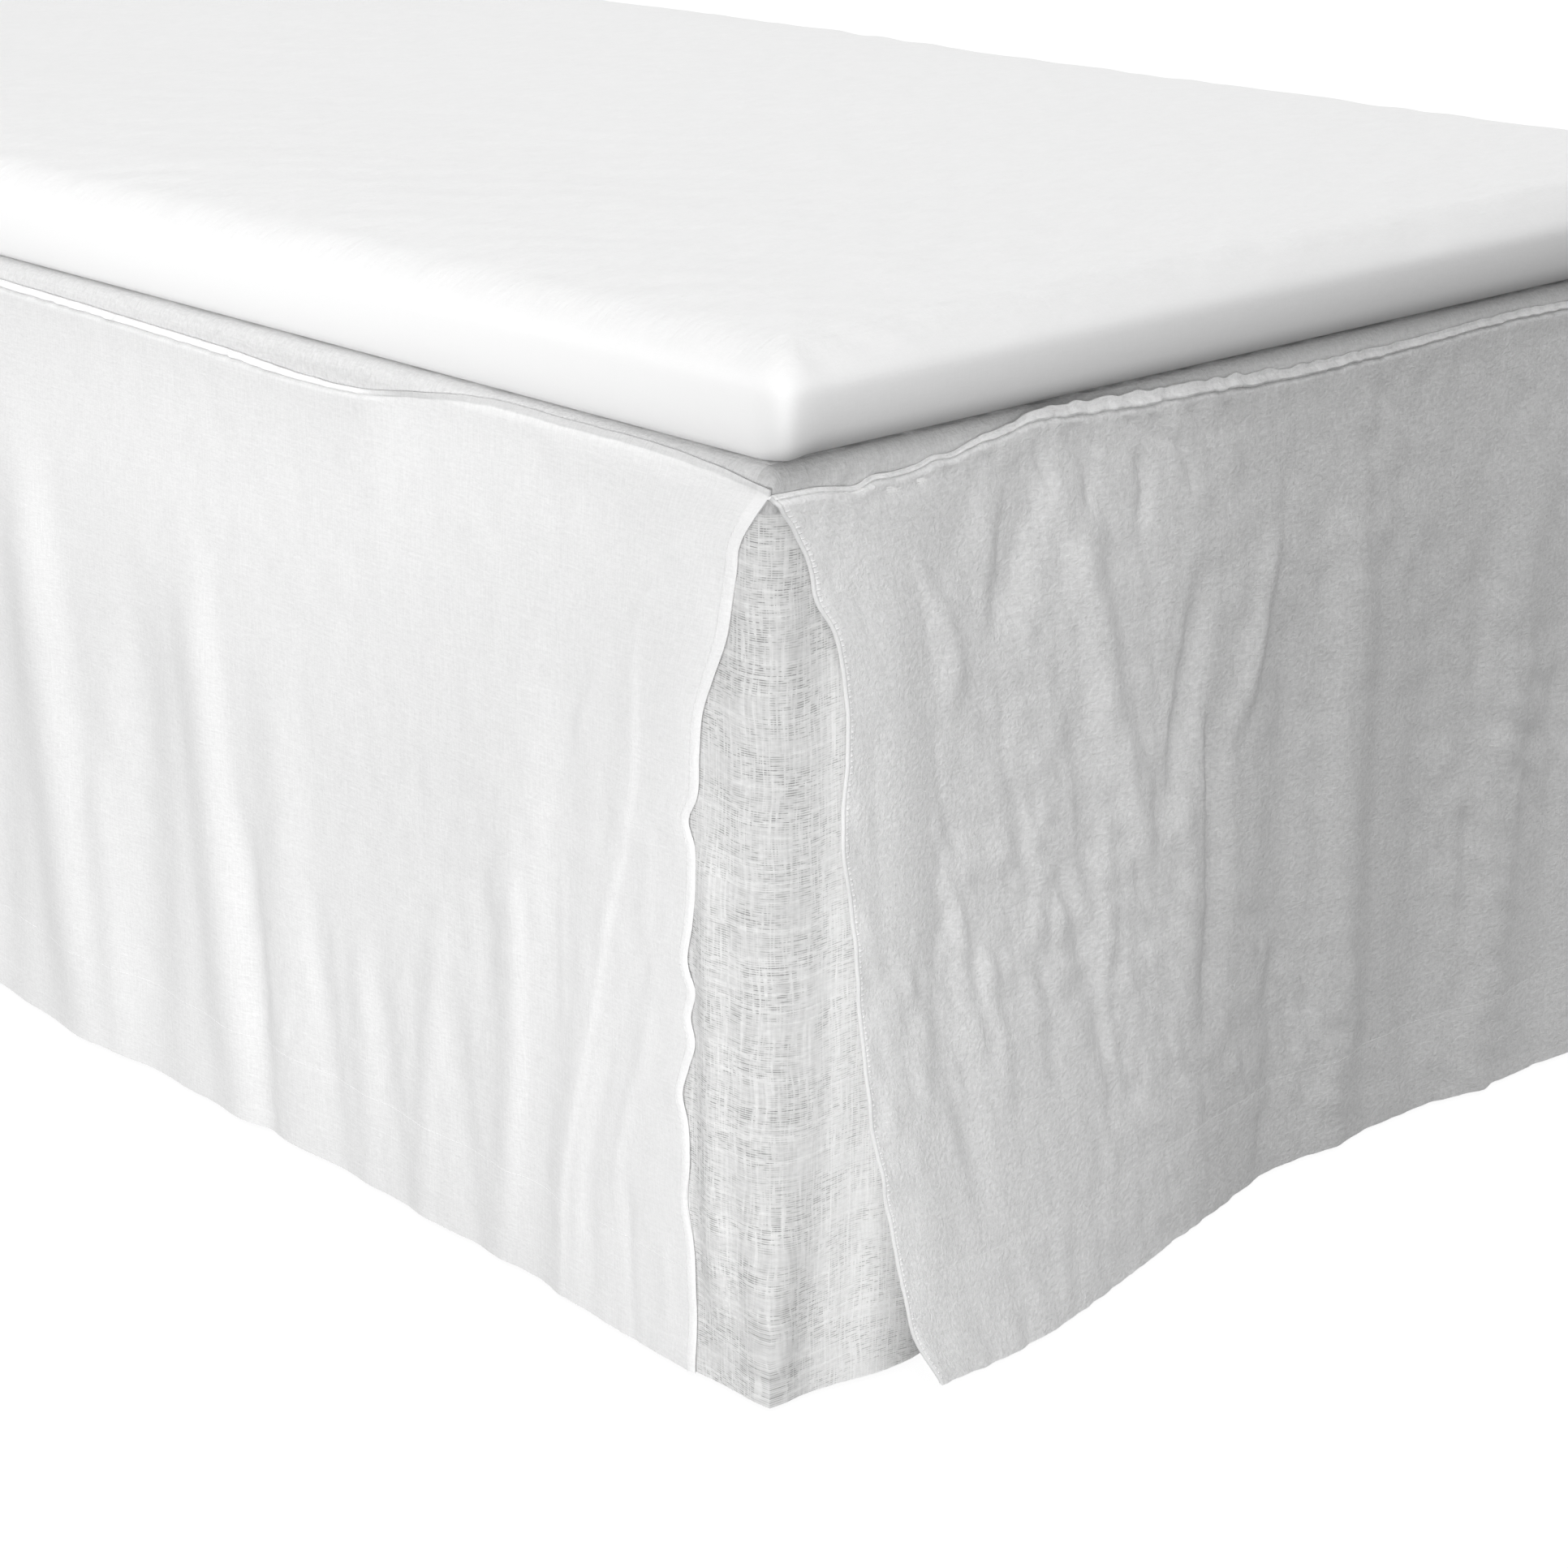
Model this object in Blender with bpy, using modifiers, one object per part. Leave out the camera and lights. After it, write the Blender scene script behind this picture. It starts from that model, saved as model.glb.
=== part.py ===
"""A bed skirt of washed linen on a single bed, with the bed it hangs from.

A deck lies on the bed's base, held there by the mattress, and turns down over its edges.
Three drops are sewn to its turned edge, where the seam stands out as a roll, and hang to the
floor. At each foot corner the drops are split, and a gusset of more open cloth goes round the
corner behind the split. Metres, +Z up, the head of the bed at +Y.
"""
import math
from collections import namedtuple

import bmesh
import bpy
from mathutils import Vector

# The bed
BED_WIDTH = 0.900
BED_LENGTH = 2.000
BASE_TOP = 0.530
BASE_HEIGHT = 0.350
BASE_ROUND = 0.010
LEG_RADIUS = 0.028
LEG_INSET = 0.110
MATTRESS_HEIGHT = 0.068
MATTRESS_INSET = 0.0
MATTRESS_ROUND = 0.026

# The cloth
CLOTH = 0.0015
AIR = 0.0003
HEM_HEIGHT = 0.005
DECK_OUT = 0.0030
DECK_TURN = 0.0035
DECK_EDGE = 0.5130
SEAM_OUT = DECK_OUT + CLOTH + AIR
SEAM_ROLL = 0.0030
SEAM_DEPTH = 0.0100
HANG_OUT = 0.013
HANG_DROP = 0.110
GUSSET_OUT = 0.0055
GUSSET_TOP_OUT = DECK_OUT
GUSSET_TOP = DECK_EDGE - 0.0005
GUSSET_LEG = 0.160

# Faces of each sheet
DROP_ROWS = 16
ROLL_ROWS = 2
ROW_SPREAD = 1.1
GUSSET_THIRD = 5
GUSSET_ROWS = 9

# The seam wanders along the deck's turned edge: its height at places along a side
Seam = namedtuple("Seam", "place height")
LEFT_SEAM = (
    Seam(0.000, 0.5205),
    Seam(0.120, 0.5220),
    Seam(0.200, 0.5240),
    Seam(0.280, 0.5200),
    Seam(0.340, 0.5145),
    Seam(0.450, 0.5150),
    Seam(0.900, 0.5190),
    Seam(1.400, 0.5160),
    Seam(2.000, 0.5180),
)
FOOT_SEAM = (
    Seam(0.000, 0.5205),
    Seam(0.060, 0.5165),
    Seam(0.100, 0.5185),
    Seam(0.150, 0.5240),
    Seam(0.190, 0.5290),
    Seam(0.240, 0.5270),
    Seam(0.320, 0.5230),
    Seam(0.380, 0.5185),
    Seam(0.480, 0.5170),
    Seam(0.620, 0.5200),
    Seam(0.760, 0.5170),
    Seam(0.900, 0.5205),
)
RIGHT_SEAM = (
    Seam(0.000, 0.5205),
    Seam(0.600, 0.5170),
    Seam(1.300, 0.5195),
    Seam(2.000, 0.5170),
)

# A free edge at a split: how far it lies from the corner at each height
Edge = namedtuple("Edge", "height setback")
SIDE_EDGE = (
    Edge(0.521, -0.0035),
    Edge(0.510, 0.004),
    Edge(0.490, 0.015),
    Edge(0.440, 0.026),
    Edge(0.400, 0.046),
    Edge(0.340, 0.055),
    Edge(0.180, 0.057),
    Edge(HEM_HEIGHT, 0.052),
)
FOOT_EDGE = (
    Edge(0.521, -0.0035),
    Edge(0.508, 0.008),
    Edge(0.494, 0.016),
    Edge(0.460, 0.027),
    Edge(0.410, 0.047),
    Edge(0.330, 0.045),
    Edge(0.240, 0.052),
    Edge(0.107, 0.064),
    Edge(0.033, 0.073),
    Edge(HEM_HEIGHT, 0.086),
)

# A soft fold runs from a place and height on the drop down to another. It stands out by its
# depth, or in where that is negative, and is that wide on each side of its line. It eases in
# over a share of its length, and out again unless it runs to the hem.
FOLD_EASE = 0.4
Fold = namedtuple("Fold", "place height end_place end_height width depth")
LEFT_FOLDS = (
    Fold(0.080, 0.470, 0.176, 0.0, 0.034, 0.0060),
    Fold(0.160, 0.400, 0.196, 0.0, 0.026, -0.0030),
    Fold(0.205, 0.260, 0.228, 0.0, 0.034, 0.0055),
    Fold(0.235, 0.300, 0.266, 0.0, 0.030, -0.0045),
    Fold(0.270, 0.280, 0.304, 0.0, 0.034, 0.0055),
    Fold(0.350, 0.200, 0.336, 0.0, 0.028, -0.0045),
    Fold(0.362, 0.220, 0.370, 0.0, 0.034, 0.0055),
    Fold(0.430, 0.360, 0.440, 0.0, 0.050, -0.0050),
    Fold(0.520, 0.420, 0.500, 0.0, 0.050, 0.0080),
    Fold(0.585, 0.380, 0.600, 0.0, 0.055, -0.0050),
    Fold(0.720, 0.460, 0.680, 0.0, 0.060, 0.0100),
    Fold(0.770, 0.330, 0.800, 0.0, 0.060, -0.0050),
    Fold(0.900, 0.400, 0.920, 0.0, 0.060, 0.0075),
    Fold(1.080, 0.460, 1.050, 0.0, 0.070, 0.0095),
    Fold(1.160, 0.300, 1.190, 0.0, 0.065, -0.0055),
    Fold(1.330, 0.430, 1.300, 0.0, 0.070, 0.0080),
    Fold(1.520, 0.470, 1.560, 0.0, 0.080, 0.0095),
    Fold(1.690, 0.330, 1.660, 0.0, 0.070, -0.0055),
    Fold(1.800, 0.420, 1.820, 0.0, 0.070, 0.0080),
)
FOOT_FOLDS = (
    Fold(0.075, 0.490, 0.112, 0.390, 0.026, 0.0040),
    Fold(0.172, 0.512, 0.150, 0.400, 0.026, -0.0050),
    Fold(0.200, 0.512, 0.272, 0.180, 0.036, 0.0085),
    Fold(0.145, 0.420, 0.186, 0.220, 0.028, -0.0045),
    Fold(0.102, 0.300, 0.142, 0.050, 0.030, -0.0050),
    Fold(0.243, 0.260, 0.274, 0.080, 0.028, -0.0055),
    Fold(0.290, 0.380, 0.305, 0.060, 0.030, 0.0065),
    Fold(0.315, 0.420, 0.338, 0.070, 0.028, -0.0070),
    Fold(0.372, 0.400, 0.350, 0.200, 0.032, 0.0070),
    Fold(0.400, 0.420, 0.420, 0.0, 0.040, -0.0050),
    Fold(0.470, 0.500, 0.480, 0.0, 0.050, 0.0100),
    Fold(0.540, 0.400, 0.560, 0.0, 0.045, -0.0050),
    Fold(0.640, 0.470, 0.620, 0.0, 0.050, 0.0090),
    Fold(0.690, 0.380, 0.680, 0.0, 0.040, -0.0045),
)
RIGHT_FOLDS = (
    Fold(0.090, 0.460, 0.160, 0.0, 0.050, 0.0070),
    Fold(0.270, 0.360, 0.300, 0.0, 0.060, 0.0080),
    Fold(0.380, 0.330, 0.400, 0.0, 0.060, -0.0050),
    Fold(0.560, 0.440, 0.530, 0.0, 0.070, 0.0090),
    Fold(0.760, 0.400, 0.790, 0.0, 0.075, 0.0085),
    Fold(0.910, 0.330, 0.900, 0.0, 0.070, -0.0050),
    Fold(1.060, 0.460, 1.030, 0.0, 0.080, 0.0100),
    Fold(1.290, 0.400, 1.320, 0.0, 0.080, 0.0085),
    Fold(1.460, 0.330, 1.440, 0.0, 0.080, -0.0055),
    Fold(1.620, 0.430, 1.600, 0.0, 0.080, 0.0095),
    Fold(1.840, 0.380, 1.860, 0.0, 0.080, 0.0070),
)

# A billow is a free corner that stands out from the bed, most at the hem
Billow = namedtuple("Billow", "place width depth")
FOOT_BILLOWS = (
    Billow(0.150, 0.270, 0.043),
    Billow(0.770, 0.230, 0.022),
)

# A drop hangs along a side of the base: where it starts, which way it runs and faces
Drop = namedtuple("Drop", "name corner along out length seam near_edge far_edge folds billows columns spread")
DROPS = (
    Drop("drop_left", (-0.5, -0.5), (0, 1), (-1, 0), BED_LENGTH, LEFT_SEAM, SIDE_EDGE, None,
         LEFT_FOLDS, (), 78, 1.30),
    Drop("drop_foot", (-0.5, -0.5), (1, 0), (0, -1), BED_WIDTH, FOOT_SEAM, FOOT_EDGE, SIDE_EDGE,
         FOOT_FOLDS, FOOT_BILLOWS, 52, 1.0),
    Drop("drop_right", (0.5, -0.5), (0, 1), (1, 0), BED_LENGTH, RIGHT_SEAM, SIDE_EDGE, None,
         RIGHT_FOLDS, (), 44, 1.15),
)

# The gusset's corner gets softer half-way down, where nothing holds it
GUSSET_CORNER_TOP = 0.012
GUSSET_CORNER_MIDDLE = 0.021
GUSSET_CORNER_HEM = 0.008

LINEN = (0.87, 0.87, 0.86)
MATTRESS_WHITE = (0.93, 0.93, 0.93)
BASE_WHITE = (0.80, 0.79, 0.77)
BEECH = (0.62, 0.46, 0.30)


def smooth(value):
    """An ease from 0 to 1."""
    value = min(max(value, 0.0), 1.0)
    return value * value * (3.0 - 2.0 * value)


def bump(distance, width):
    """A rounded bump, 1 on its line and 0 a width away."""
    if abs(distance) >= width:
        return 0.0
    return 0.5 + 0.5 * math.cos(math.pi * distance / width)


def material(name, colour, roughness):
    surface = bpy.data.materials.new(name)
    surface.use_nodes = True
    shader = surface.node_tree.nodes["Principled BSDF"]
    shader.inputs["Base Color"].default_value = (*colour, 1.0)
    shader.inputs["Roughness"].default_value = roughness
    shader.inputs["Metallic"].default_value = 0.0
    return surface


def finish(obj, name, surface, collection):
    """Name the piece, give it its material and put it in the object's collection."""
    obj.name = name
    obj.data.name = name
    obj.data.materials.append(surface)
    for other in obj.users_collection:
        other.objects.unlink(obj)
    collection.objects.link(obj)
    return obj


def setback(edge, height):
    """How far a free edge lies from the corner at a height."""
    for above, below in zip(edge, edge[1:]):
        if height >= below.height:
            share = (above.height - height) / (above.height - below.height)
            return above.setback + (below.setback - above.setback) * min(max(share, 0.0), 1.0)
    return edge[-1].setback


def seam_height(seam, place):
    """How high the seam lies at a place along a side."""
    for before, after in zip(seam, seam[1:]):
        if place <= after.place:
            share = smooth((place - before.place) / (after.place - before.place))
            return before.height + (after.height - before.height) * share
    return seam[-1].height


def fold_depth(fold, place, height):
    """How far a fold moves the cloth: it eases in below its top and out above its end."""
    if height > fold.height or height < fold.end_height:
        return 0.0
    run = (fold.height - height) / (fold.height - fold.end_height)
    line = fold.place + (fold.end_place - fold.place) * run
    strength = smooth(run / FOLD_EASE)
    if fold.end_height > 0.0:
        strength *= smooth((1.0 - run) / FOLD_EASE)
    return fold.depth * strength * bump(place - line, fold.width)


def gusset_out(height):
    share = smooth((GUSSET_TOP - height) / HANG_DROP)
    return GUSSET_TOP_OUT + (GUSSET_OUT - GUSSET_TOP_OUT) * share


def drop_out(drop, place, height):
    """How far the middle of a hanging drop stands out from the base's face."""
    seam = seam_height(drop.seam, place)
    fall = max(seam - height, 0.0) / seam
    out = SEAM_OUT + (HANG_OUT - SEAM_OUT) * smooth((seam - height) / HANG_DROP)
    out += SEAM_ROLL * bump(seam - height - SEAM_DEPTH / 2, SEAM_DEPTH / 2)
    out += sum(fold_depth(fold, place, height) for fold in drop.folds)
    out += sum(b.depth * fall ** 2 * bump(place - b.place, b.width) for b in drop.billows)
    return max(out, gusset_out(height) + CLOTH + AIR)


def on_side(drop, place, out, height):
    """A point a way along a side of the base, out from its face and up from the floor."""
    corner = Vector((drop.corner[0] * BED_WIDTH, drop.corner[1] * BED_LENGTH, height))
    return corner + Vector((*drop.along, 0)) * place + Vector((*drop.out, 0)) * out


def cloth_sheet(columns, rows, point):
    """A grid laid on the points that point(column, row) gives, thickened to cloth."""
    bpy.ops.mesh.primitive_grid_add(x_subdivisions=columns, y_subdivisions=rows, size=1.0)
    obj = bpy.context.object
    for vertex in obj.data.vertices:
        column = round((vertex.co.x + 0.5) * columns)
        row = round((0.5 - vertex.co.y) * rows)
        vertex.co = point(column, row)
    obj.data.shade_smooth()
    solidify = obj.modifiers.new("Cloth", "SOLIDIFY")
    solidify.thickness = CLOTH
    solidify.offset = 0.0
    return obj


def make_drop(drop):
    """A drop: the rolled seam at its top edge, and the panel that hangs from it."""
    def point(column, row):
        share = (column / drop.columns) ** drop.spread
        seam = seam_height(drop.seam, drop.length * share)
        if row <= ROLL_ROWS:
            height = seam - SEAM_DEPTH * row / ROLL_ROWS
        else:
            down = ((row - ROLL_ROWS) / (DROP_ROWS - ROLL_ROWS)) ** ROW_SPREAD
            height = seam - SEAM_DEPTH + (HEM_HEIGHT - seam + SEAM_DEPTH) * down
        start = setback(drop.near_edge, height)
        end = drop.length
        if drop.far_edge:
            end -= setback(drop.far_edge, height)
        place = start + (end - start) * share
        return on_side(drop, place, drop_out(drop, place, height), height)

    return cloth_sheet(drop.columns, DROP_ROWS, point)


def gusset_corner(height):
    """The radius of the gusset's corner at a height."""
    share = (GUSSET_TOP - height) / (GUSSET_TOP - HEM_HEIGHT)
    if share < 0.5:
        span = smooth(share * 2.0)
        return GUSSET_CORNER_TOP + (GUSSET_CORNER_MIDDLE - GUSSET_CORNER_TOP) * span
    span = smooth(share * 2.0 - 1.0)
    return GUSSET_CORNER_MIDDLE + (GUSSET_CORNER_HEM - GUSSET_CORNER_MIDDLE) * span


def make_gusset(side):
    """A gusset round a foot corner of the base; side is -1 on the left and 1 on the right."""
    columns = 3 * GUSSET_THIRD

    def point(column, row):
        height = GUSSET_TOP + (HEM_HEIGHT - GUSSET_TOP) * row / GUSSET_ROWS
        out = gusset_out(height)
        radius = gusset_corner(height)
        third = min(column // GUSSET_THIRD, 2)
        share = column / GUSSET_THIRD - third
        straight = GUSSET_LEG + out - radius
        if third == 0:
            beside, before = 0.0, radius + straight * (1.0 - share)
        elif third == 1:
            turn = math.radians(90.0) * share
            beside, before = radius * (1 - math.cos(turn)), radius * (1 - math.sin(turn))
        else:
            beside, before = radius + straight * share, 0.0
        x = BED_WIDTH / 2 + out - beside
        y = -BED_LENGTH / 2 - out + before
        return Vector((side * x, y, height))

    return cloth_sheet(columns, GUSSET_ROWS, point)


def rounded_box(size, centre, radius, segments):
    bpy.ops.mesh.primitive_cube_add(size=1.0, location=centre)
    obj = bpy.context.object
    obj.scale = size
    bpy.ops.object.transform_apply(location=False, rotation=False, scale=True)
    bevel = obj.modifiers.new("Rounded edges", "BEVEL")
    bevel.width = radius
    bevel.segments = segments
    bevel.limit_method = "NONE"
    return obj


def make_deck():
    """The panel under the mattress, turned down over the base's edges but not at its head."""
    top = BASE_TOP + AIR + CLOTH / 2
    width = BED_WIDTH + 2 * DECK_OUT
    length = BED_LENGTH + DECK_OUT
    bpy.ops.mesh.primitive_cube_add(size=1.0, location=(0, -DECK_OUT / 2, (top + DECK_EDGE) / 2))
    obj = bpy.context.object
    obj.scale = (width, length, top - DECK_EDGE)
    bpy.ops.object.transform_apply(location=False, rotation=False, scale=True)
    shell = bmesh.new()
    shell.from_mesh(obj.data)
    open_faces = [face for face in shell.faces if face.normal.z < -0.5 or face.normal.y > 0.5]
    bmesh.ops.delete(shell, geom=open_faces, context="FACES")
    edges = [edge for edge in shell.edges if len(edge.link_faces) == 2]
    bmesh.ops.bevel(shell, geom=edges, offset=DECK_TURN, segments=3, affect="EDGES", profile=0.5)
    shell.to_mesh(obj.data)
    shell.free()
    solidify = obj.modifiers.new("Cloth", "SOLIDIFY")
    solidify.thickness = CLOTH
    solidify.offset = 0.0
    return obj


def make_base():
    size = (BED_WIDTH, BED_LENGTH, BASE_HEIGHT)
    return rounded_box(size, (0, 0, BASE_TOP - BASE_HEIGHT / 2), BASE_ROUND, 3)


def make_mattress():
    bottom = BASE_TOP + 2 * AIR + CLOTH
    size = (BED_WIDTH - 2 * MATTRESS_INSET, BED_LENGTH - 2 * MATTRESS_INSET, MATTRESS_HEIGHT)
    return rounded_box(size, (0, 0, bottom + MATTRESS_HEIGHT / 2), MATTRESS_ROUND, 5)


def make_leg(x, y):
    height = BASE_TOP - BASE_HEIGHT - AIR
    bpy.ops.mesh.primitive_cylinder_add(vertices=24, radius=LEG_RADIUS, depth=height,
                                        location=(x, y, height / 2))
    return bpy.context.object


def centre_on_floor(collection):
    """Put the origin under the middle of everything."""
    bpy.context.view_layer.update()
    graph = bpy.context.evaluated_depsgraph_get()
    corners = []
    for obj in collection.objects:
        solid = obj.evaluated_get(graph)
        corners += [solid.matrix_world @ vertex.co for vertex in solid.data.vertices]
    for axis in (0, 1):
        low = min(corner[axis] for corner in corners)
        high = max(corner[axis] for corner in corners)
        for obj in collection.objects:
            obj.location[axis] -= (low + high) / 2
    bpy.context.view_layer.update()


def main():
    for obj in list(bpy.data.objects):
        bpy.data.objects.remove(obj)
    collection = bpy.data.collections.new("bed_skirt")
    bpy.context.scene.collection.children.link(collection)

    linen = material("linen", LINEN, 0.9)
    gauze = material("open linen", LINEN, 0.9)
    finish(make_deck(), "deck", linen, collection)
    for drop in DROPS:
        finish(make_drop(drop), drop.name, linen, collection)
    for name, side in (("gusset_left", -1), ("gusset_right", 1)):
        finish(make_gusset(side), name, gauze, collection)

    finish(make_mattress(), "mattress", material("mattress cover", MATTRESS_WHITE, 0.8), collection)
    finish(make_base(), "bed_base", material("base cover", BASE_WHITE, 0.9), collection)
    beech = material("beech", BEECH, 0.5)
    leg_x = BED_WIDTH / 2 - LEG_INSET
    leg_y = BED_LENGTH / 2 - LEG_INSET
    places = [(-leg_x, -leg_y), (leg_x, -leg_y), (-leg_x, leg_y), (leg_x, leg_y)]
    for number, (x, y) in enumerate(places, start=1):
        finish(make_leg(x, y), f"leg_{number}", beech, collection)
    centre_on_floor(collection)


main()
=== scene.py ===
"""A bed skirt of washed linen on a single bed, seen at the corner of the bed's foot.

The sections follow the bed as it is put together: base, legs, deck, gussets, drops, the sewing
on them, and the mattress on top. Metres, +Z up, the head of the bed at +Y.
"""

import math
from collections import namedtuple

import bpy
import numpy as np
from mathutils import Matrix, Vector, noise


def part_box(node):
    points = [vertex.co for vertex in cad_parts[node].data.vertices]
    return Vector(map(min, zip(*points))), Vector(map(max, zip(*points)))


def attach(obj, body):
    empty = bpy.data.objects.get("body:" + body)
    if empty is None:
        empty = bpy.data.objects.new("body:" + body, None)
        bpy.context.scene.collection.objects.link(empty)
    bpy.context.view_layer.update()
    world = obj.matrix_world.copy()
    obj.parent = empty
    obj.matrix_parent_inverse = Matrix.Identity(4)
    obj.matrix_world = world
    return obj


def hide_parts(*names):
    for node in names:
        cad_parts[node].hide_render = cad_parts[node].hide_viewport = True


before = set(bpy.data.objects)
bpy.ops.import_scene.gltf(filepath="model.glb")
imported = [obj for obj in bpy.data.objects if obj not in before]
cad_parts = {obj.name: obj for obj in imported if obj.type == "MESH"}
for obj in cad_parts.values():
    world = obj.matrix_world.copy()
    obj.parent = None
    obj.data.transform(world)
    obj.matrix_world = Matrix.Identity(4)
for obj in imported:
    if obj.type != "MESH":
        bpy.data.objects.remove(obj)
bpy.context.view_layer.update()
bpy.ops.object.select_all(action="DESELECT")

# ---- The camera ----
# It stands off the corner of the foot at chest height, with a short telephoto lens, and looks
# down on the split between the drops.
base_low, base_high = (Vector(corner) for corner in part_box("bed_base"))
CAMERA_FROM_CORNER = (-1.1018, -1.1978)
CAMERA_HEIGHT = 0.951
CAMERA_HEADING = (0.6803, 0.7329)
CAMERA_DOWN = math.radians(19.83)
CAMERA_LENS = 76.77

camera_data = bpy.data.cameras.new("camera")
camera_data.lens = CAMERA_LENS
camera_data.clip_start = 0.05
camera = bpy.data.objects.new("camera", camera_data)
bpy.context.scene.collection.objects.link(camera)
camera.location = (
    base_low.x + CAMERA_FROM_CORNER[0],
    base_low.y + CAMERA_FROM_CORNER[1],
    CAMERA_HEIGHT,
)
look = Vector((
    CAMERA_HEADING[0] * math.cos(CAMERA_DOWN),
    CAMERA_HEADING[1] * math.cos(CAMERA_DOWN),
    -math.sin(CAMERA_DOWN),
))
camera.rotation_euler = look.to_track_quat("-Z", "Y").to_euler()
bpy.context.scene.camera = camera
bpy.context.scene.view_settings.view_transform = "Standard"

# ---- The studio ----
# A pale seamless floor in a white room, with broad lights from the left, from overhead and from
# behind on the right, and a soft spot beside the camera that fades towards the foot's far end.
FLOOR_SIZE = 40.0
FLOOR_WHITE = (0.10, 0.10, 0.10)
FLOOR_BOUNCE = (0.22, 0.22, 0.22)
FLOOR_LIFT = 0.95
KEY_FROM = (-0.95, -0.22, 0.20)
KEY_STRENGTH = 0.38
KEY_ANGLE = math.radians(35)
SPOT_FROM = (-0.780, -0.610, 0.13)
SPOT_AWAY = 4.5
SPOT_AT = (0.0, 0.72, 0.14)
SPOT_CONE = math.radians(20.4)
SPOT_BLEND = 0.6
SPOT_RADIUS = 0.50
SPOT_POWER = 650.0
OVERHEAD_STRENGTH = 0.64
OVERHEAD_ANGLE = math.radians(60)
FILL_FROM = (0.70, 0.66, 0.26)
FILL_STRENGTH = 0.55
FILL_ANGLE = math.radians(20)
ROOM_STRENGTH = 0.63
ROOM_SEEN = 0.97


def add_node(tree, kind, sockets=(), **settings):
    """A node with its settings, its sockets linked or set."""
    made = tree.nodes.new(kind)
    for name, value in settings.items():
        setattr(made, name, value)
    for key, value in dict(sockets).items():
        if isinstance(value, bpy.types.NodeSocket):
            tree.links.new(value, made.inputs[key])
        else:
            made.inputs[key].default_value = value
    return made


def maths(tree, operation, first, second=0.0):
    return add_node(tree, "ShaderNodeMath", {0: first, 1: second}, operation=operation).outputs[0]


def blank_material(name, roughness, sheen=0.0):
    """A material and its shader, for a finish whose colour and relief are linked later."""
    made = bpy.data.materials.new(name)
    made.use_nodes = True
    shader = made.node_tree.nodes["Principled BSDF"]
    shader.inputs["Roughness"].default_value = roughness
    shader.inputs["Sheen Weight"].default_value = sheen
    shader.inputs["Specular IOR Level"].default_value = 0.25
    return made, made.node_tree, shader


bpy.ops.mesh.primitive_plane_add(size=FLOOR_SIZE, location=(0, 0, 0))
floor = bpy.context.object
floor.name = "studio_floor"
floor_paint, tree, shader = blank_material("studio floor", 0.95)
seen = add_node(tree, "ShaderNodeLightPath").outputs["Is Camera Ray"]
white = add_node(tree, "ShaderNodeMix", {"Factor": seen, 6: (*FLOOR_BOUNCE, 1.0),
                                         7: (*FLOOR_WHITE, 1.0)}, data_type="RGBA")
tree.links.new(white.outputs[2], shader.inputs["Base Color"])
shader.inputs["Emission Color"].default_value = (1.0, 1.0, 1.0, 1.0)
tree.links.new(maths(tree, "MULTIPLY", seen, FLOOR_LIFT), shader.inputs["Emission Strength"])
floor.data.materials.append(floor_paint)

for name, source, strength, angle in (
        ("key", Vector(KEY_FROM), KEY_STRENGTH, KEY_ANGLE),
        ("overhead", Vector((0.0, 0.0, 1.0)), OVERHEAD_STRENGTH, OVERHEAD_ANGLE),
        ("fill", Vector(FILL_FROM), FILL_STRENGTH, FILL_ANGLE)):
    sun_data = bpy.data.lights.new(name, "SUN")
    sun_data.energy = strength
    sun_data.angle = angle
    sun = bpy.data.objects.new(name, sun_data)
    sun.rotation_euler = (-source).to_track_quat("-Z", "Y").to_euler()
    bpy.context.scene.collection.objects.link(sun)

spot_data = bpy.data.lights.new("spot", "SPOT")
spot_data.energy = SPOT_POWER
spot_data.spot_size = SPOT_CONE
spot_data.spot_blend = SPOT_BLEND
spot_data.shadow_soft_size = SPOT_RADIUS
spot = bpy.data.objects.new("spot", spot_data)
aim = Vector((base_low.x + SPOT_AT[0], base_low.y + SPOT_AT[1], SPOT_AT[2]))
spot.location = Vector((base_low.x, base_low.y, SPOT_AT[2])) + SPOT_AWAY * Vector(SPOT_FROM)
spot.rotation_euler = (aim - spot.location).to_track_quat("-Z", "Y").to_euler()
bpy.context.scene.collection.objects.link(spot)

room = bpy.data.worlds.new("room")
room.use_nodes = True
room.node_tree.nodes["Background"].inputs["Color"].default_value = (1.0, 1.0, 1.0, 1.0)
seen = add_node(room.node_tree, "ShaderNodeLightPath").outputs["Is Camera Ray"]
glow = maths(room.node_tree, "MULTIPLY_ADD", seen, ROOM_SEEN - ROOM_STRENGTH)
glow.node.inputs[2].default_value = ROOM_STRENGTH
room.node_tree.links.new(glow, room.node_tree.nodes["Background"].inputs["Strength"])
bpy.context.scene.world = room

# ---- The bed's base ----
# A boxed base covered in plain calico: its cover is pulled over rounded edges, with a piped
# seam round the foot of its sides and a dust cloth stapled underneath.
BASE_ROUND = 0.010
PIPING_RADIUS = 0.0022
PIPING_UP = 0.014
CALICO = (0.80, 0.79, 0.77)


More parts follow.
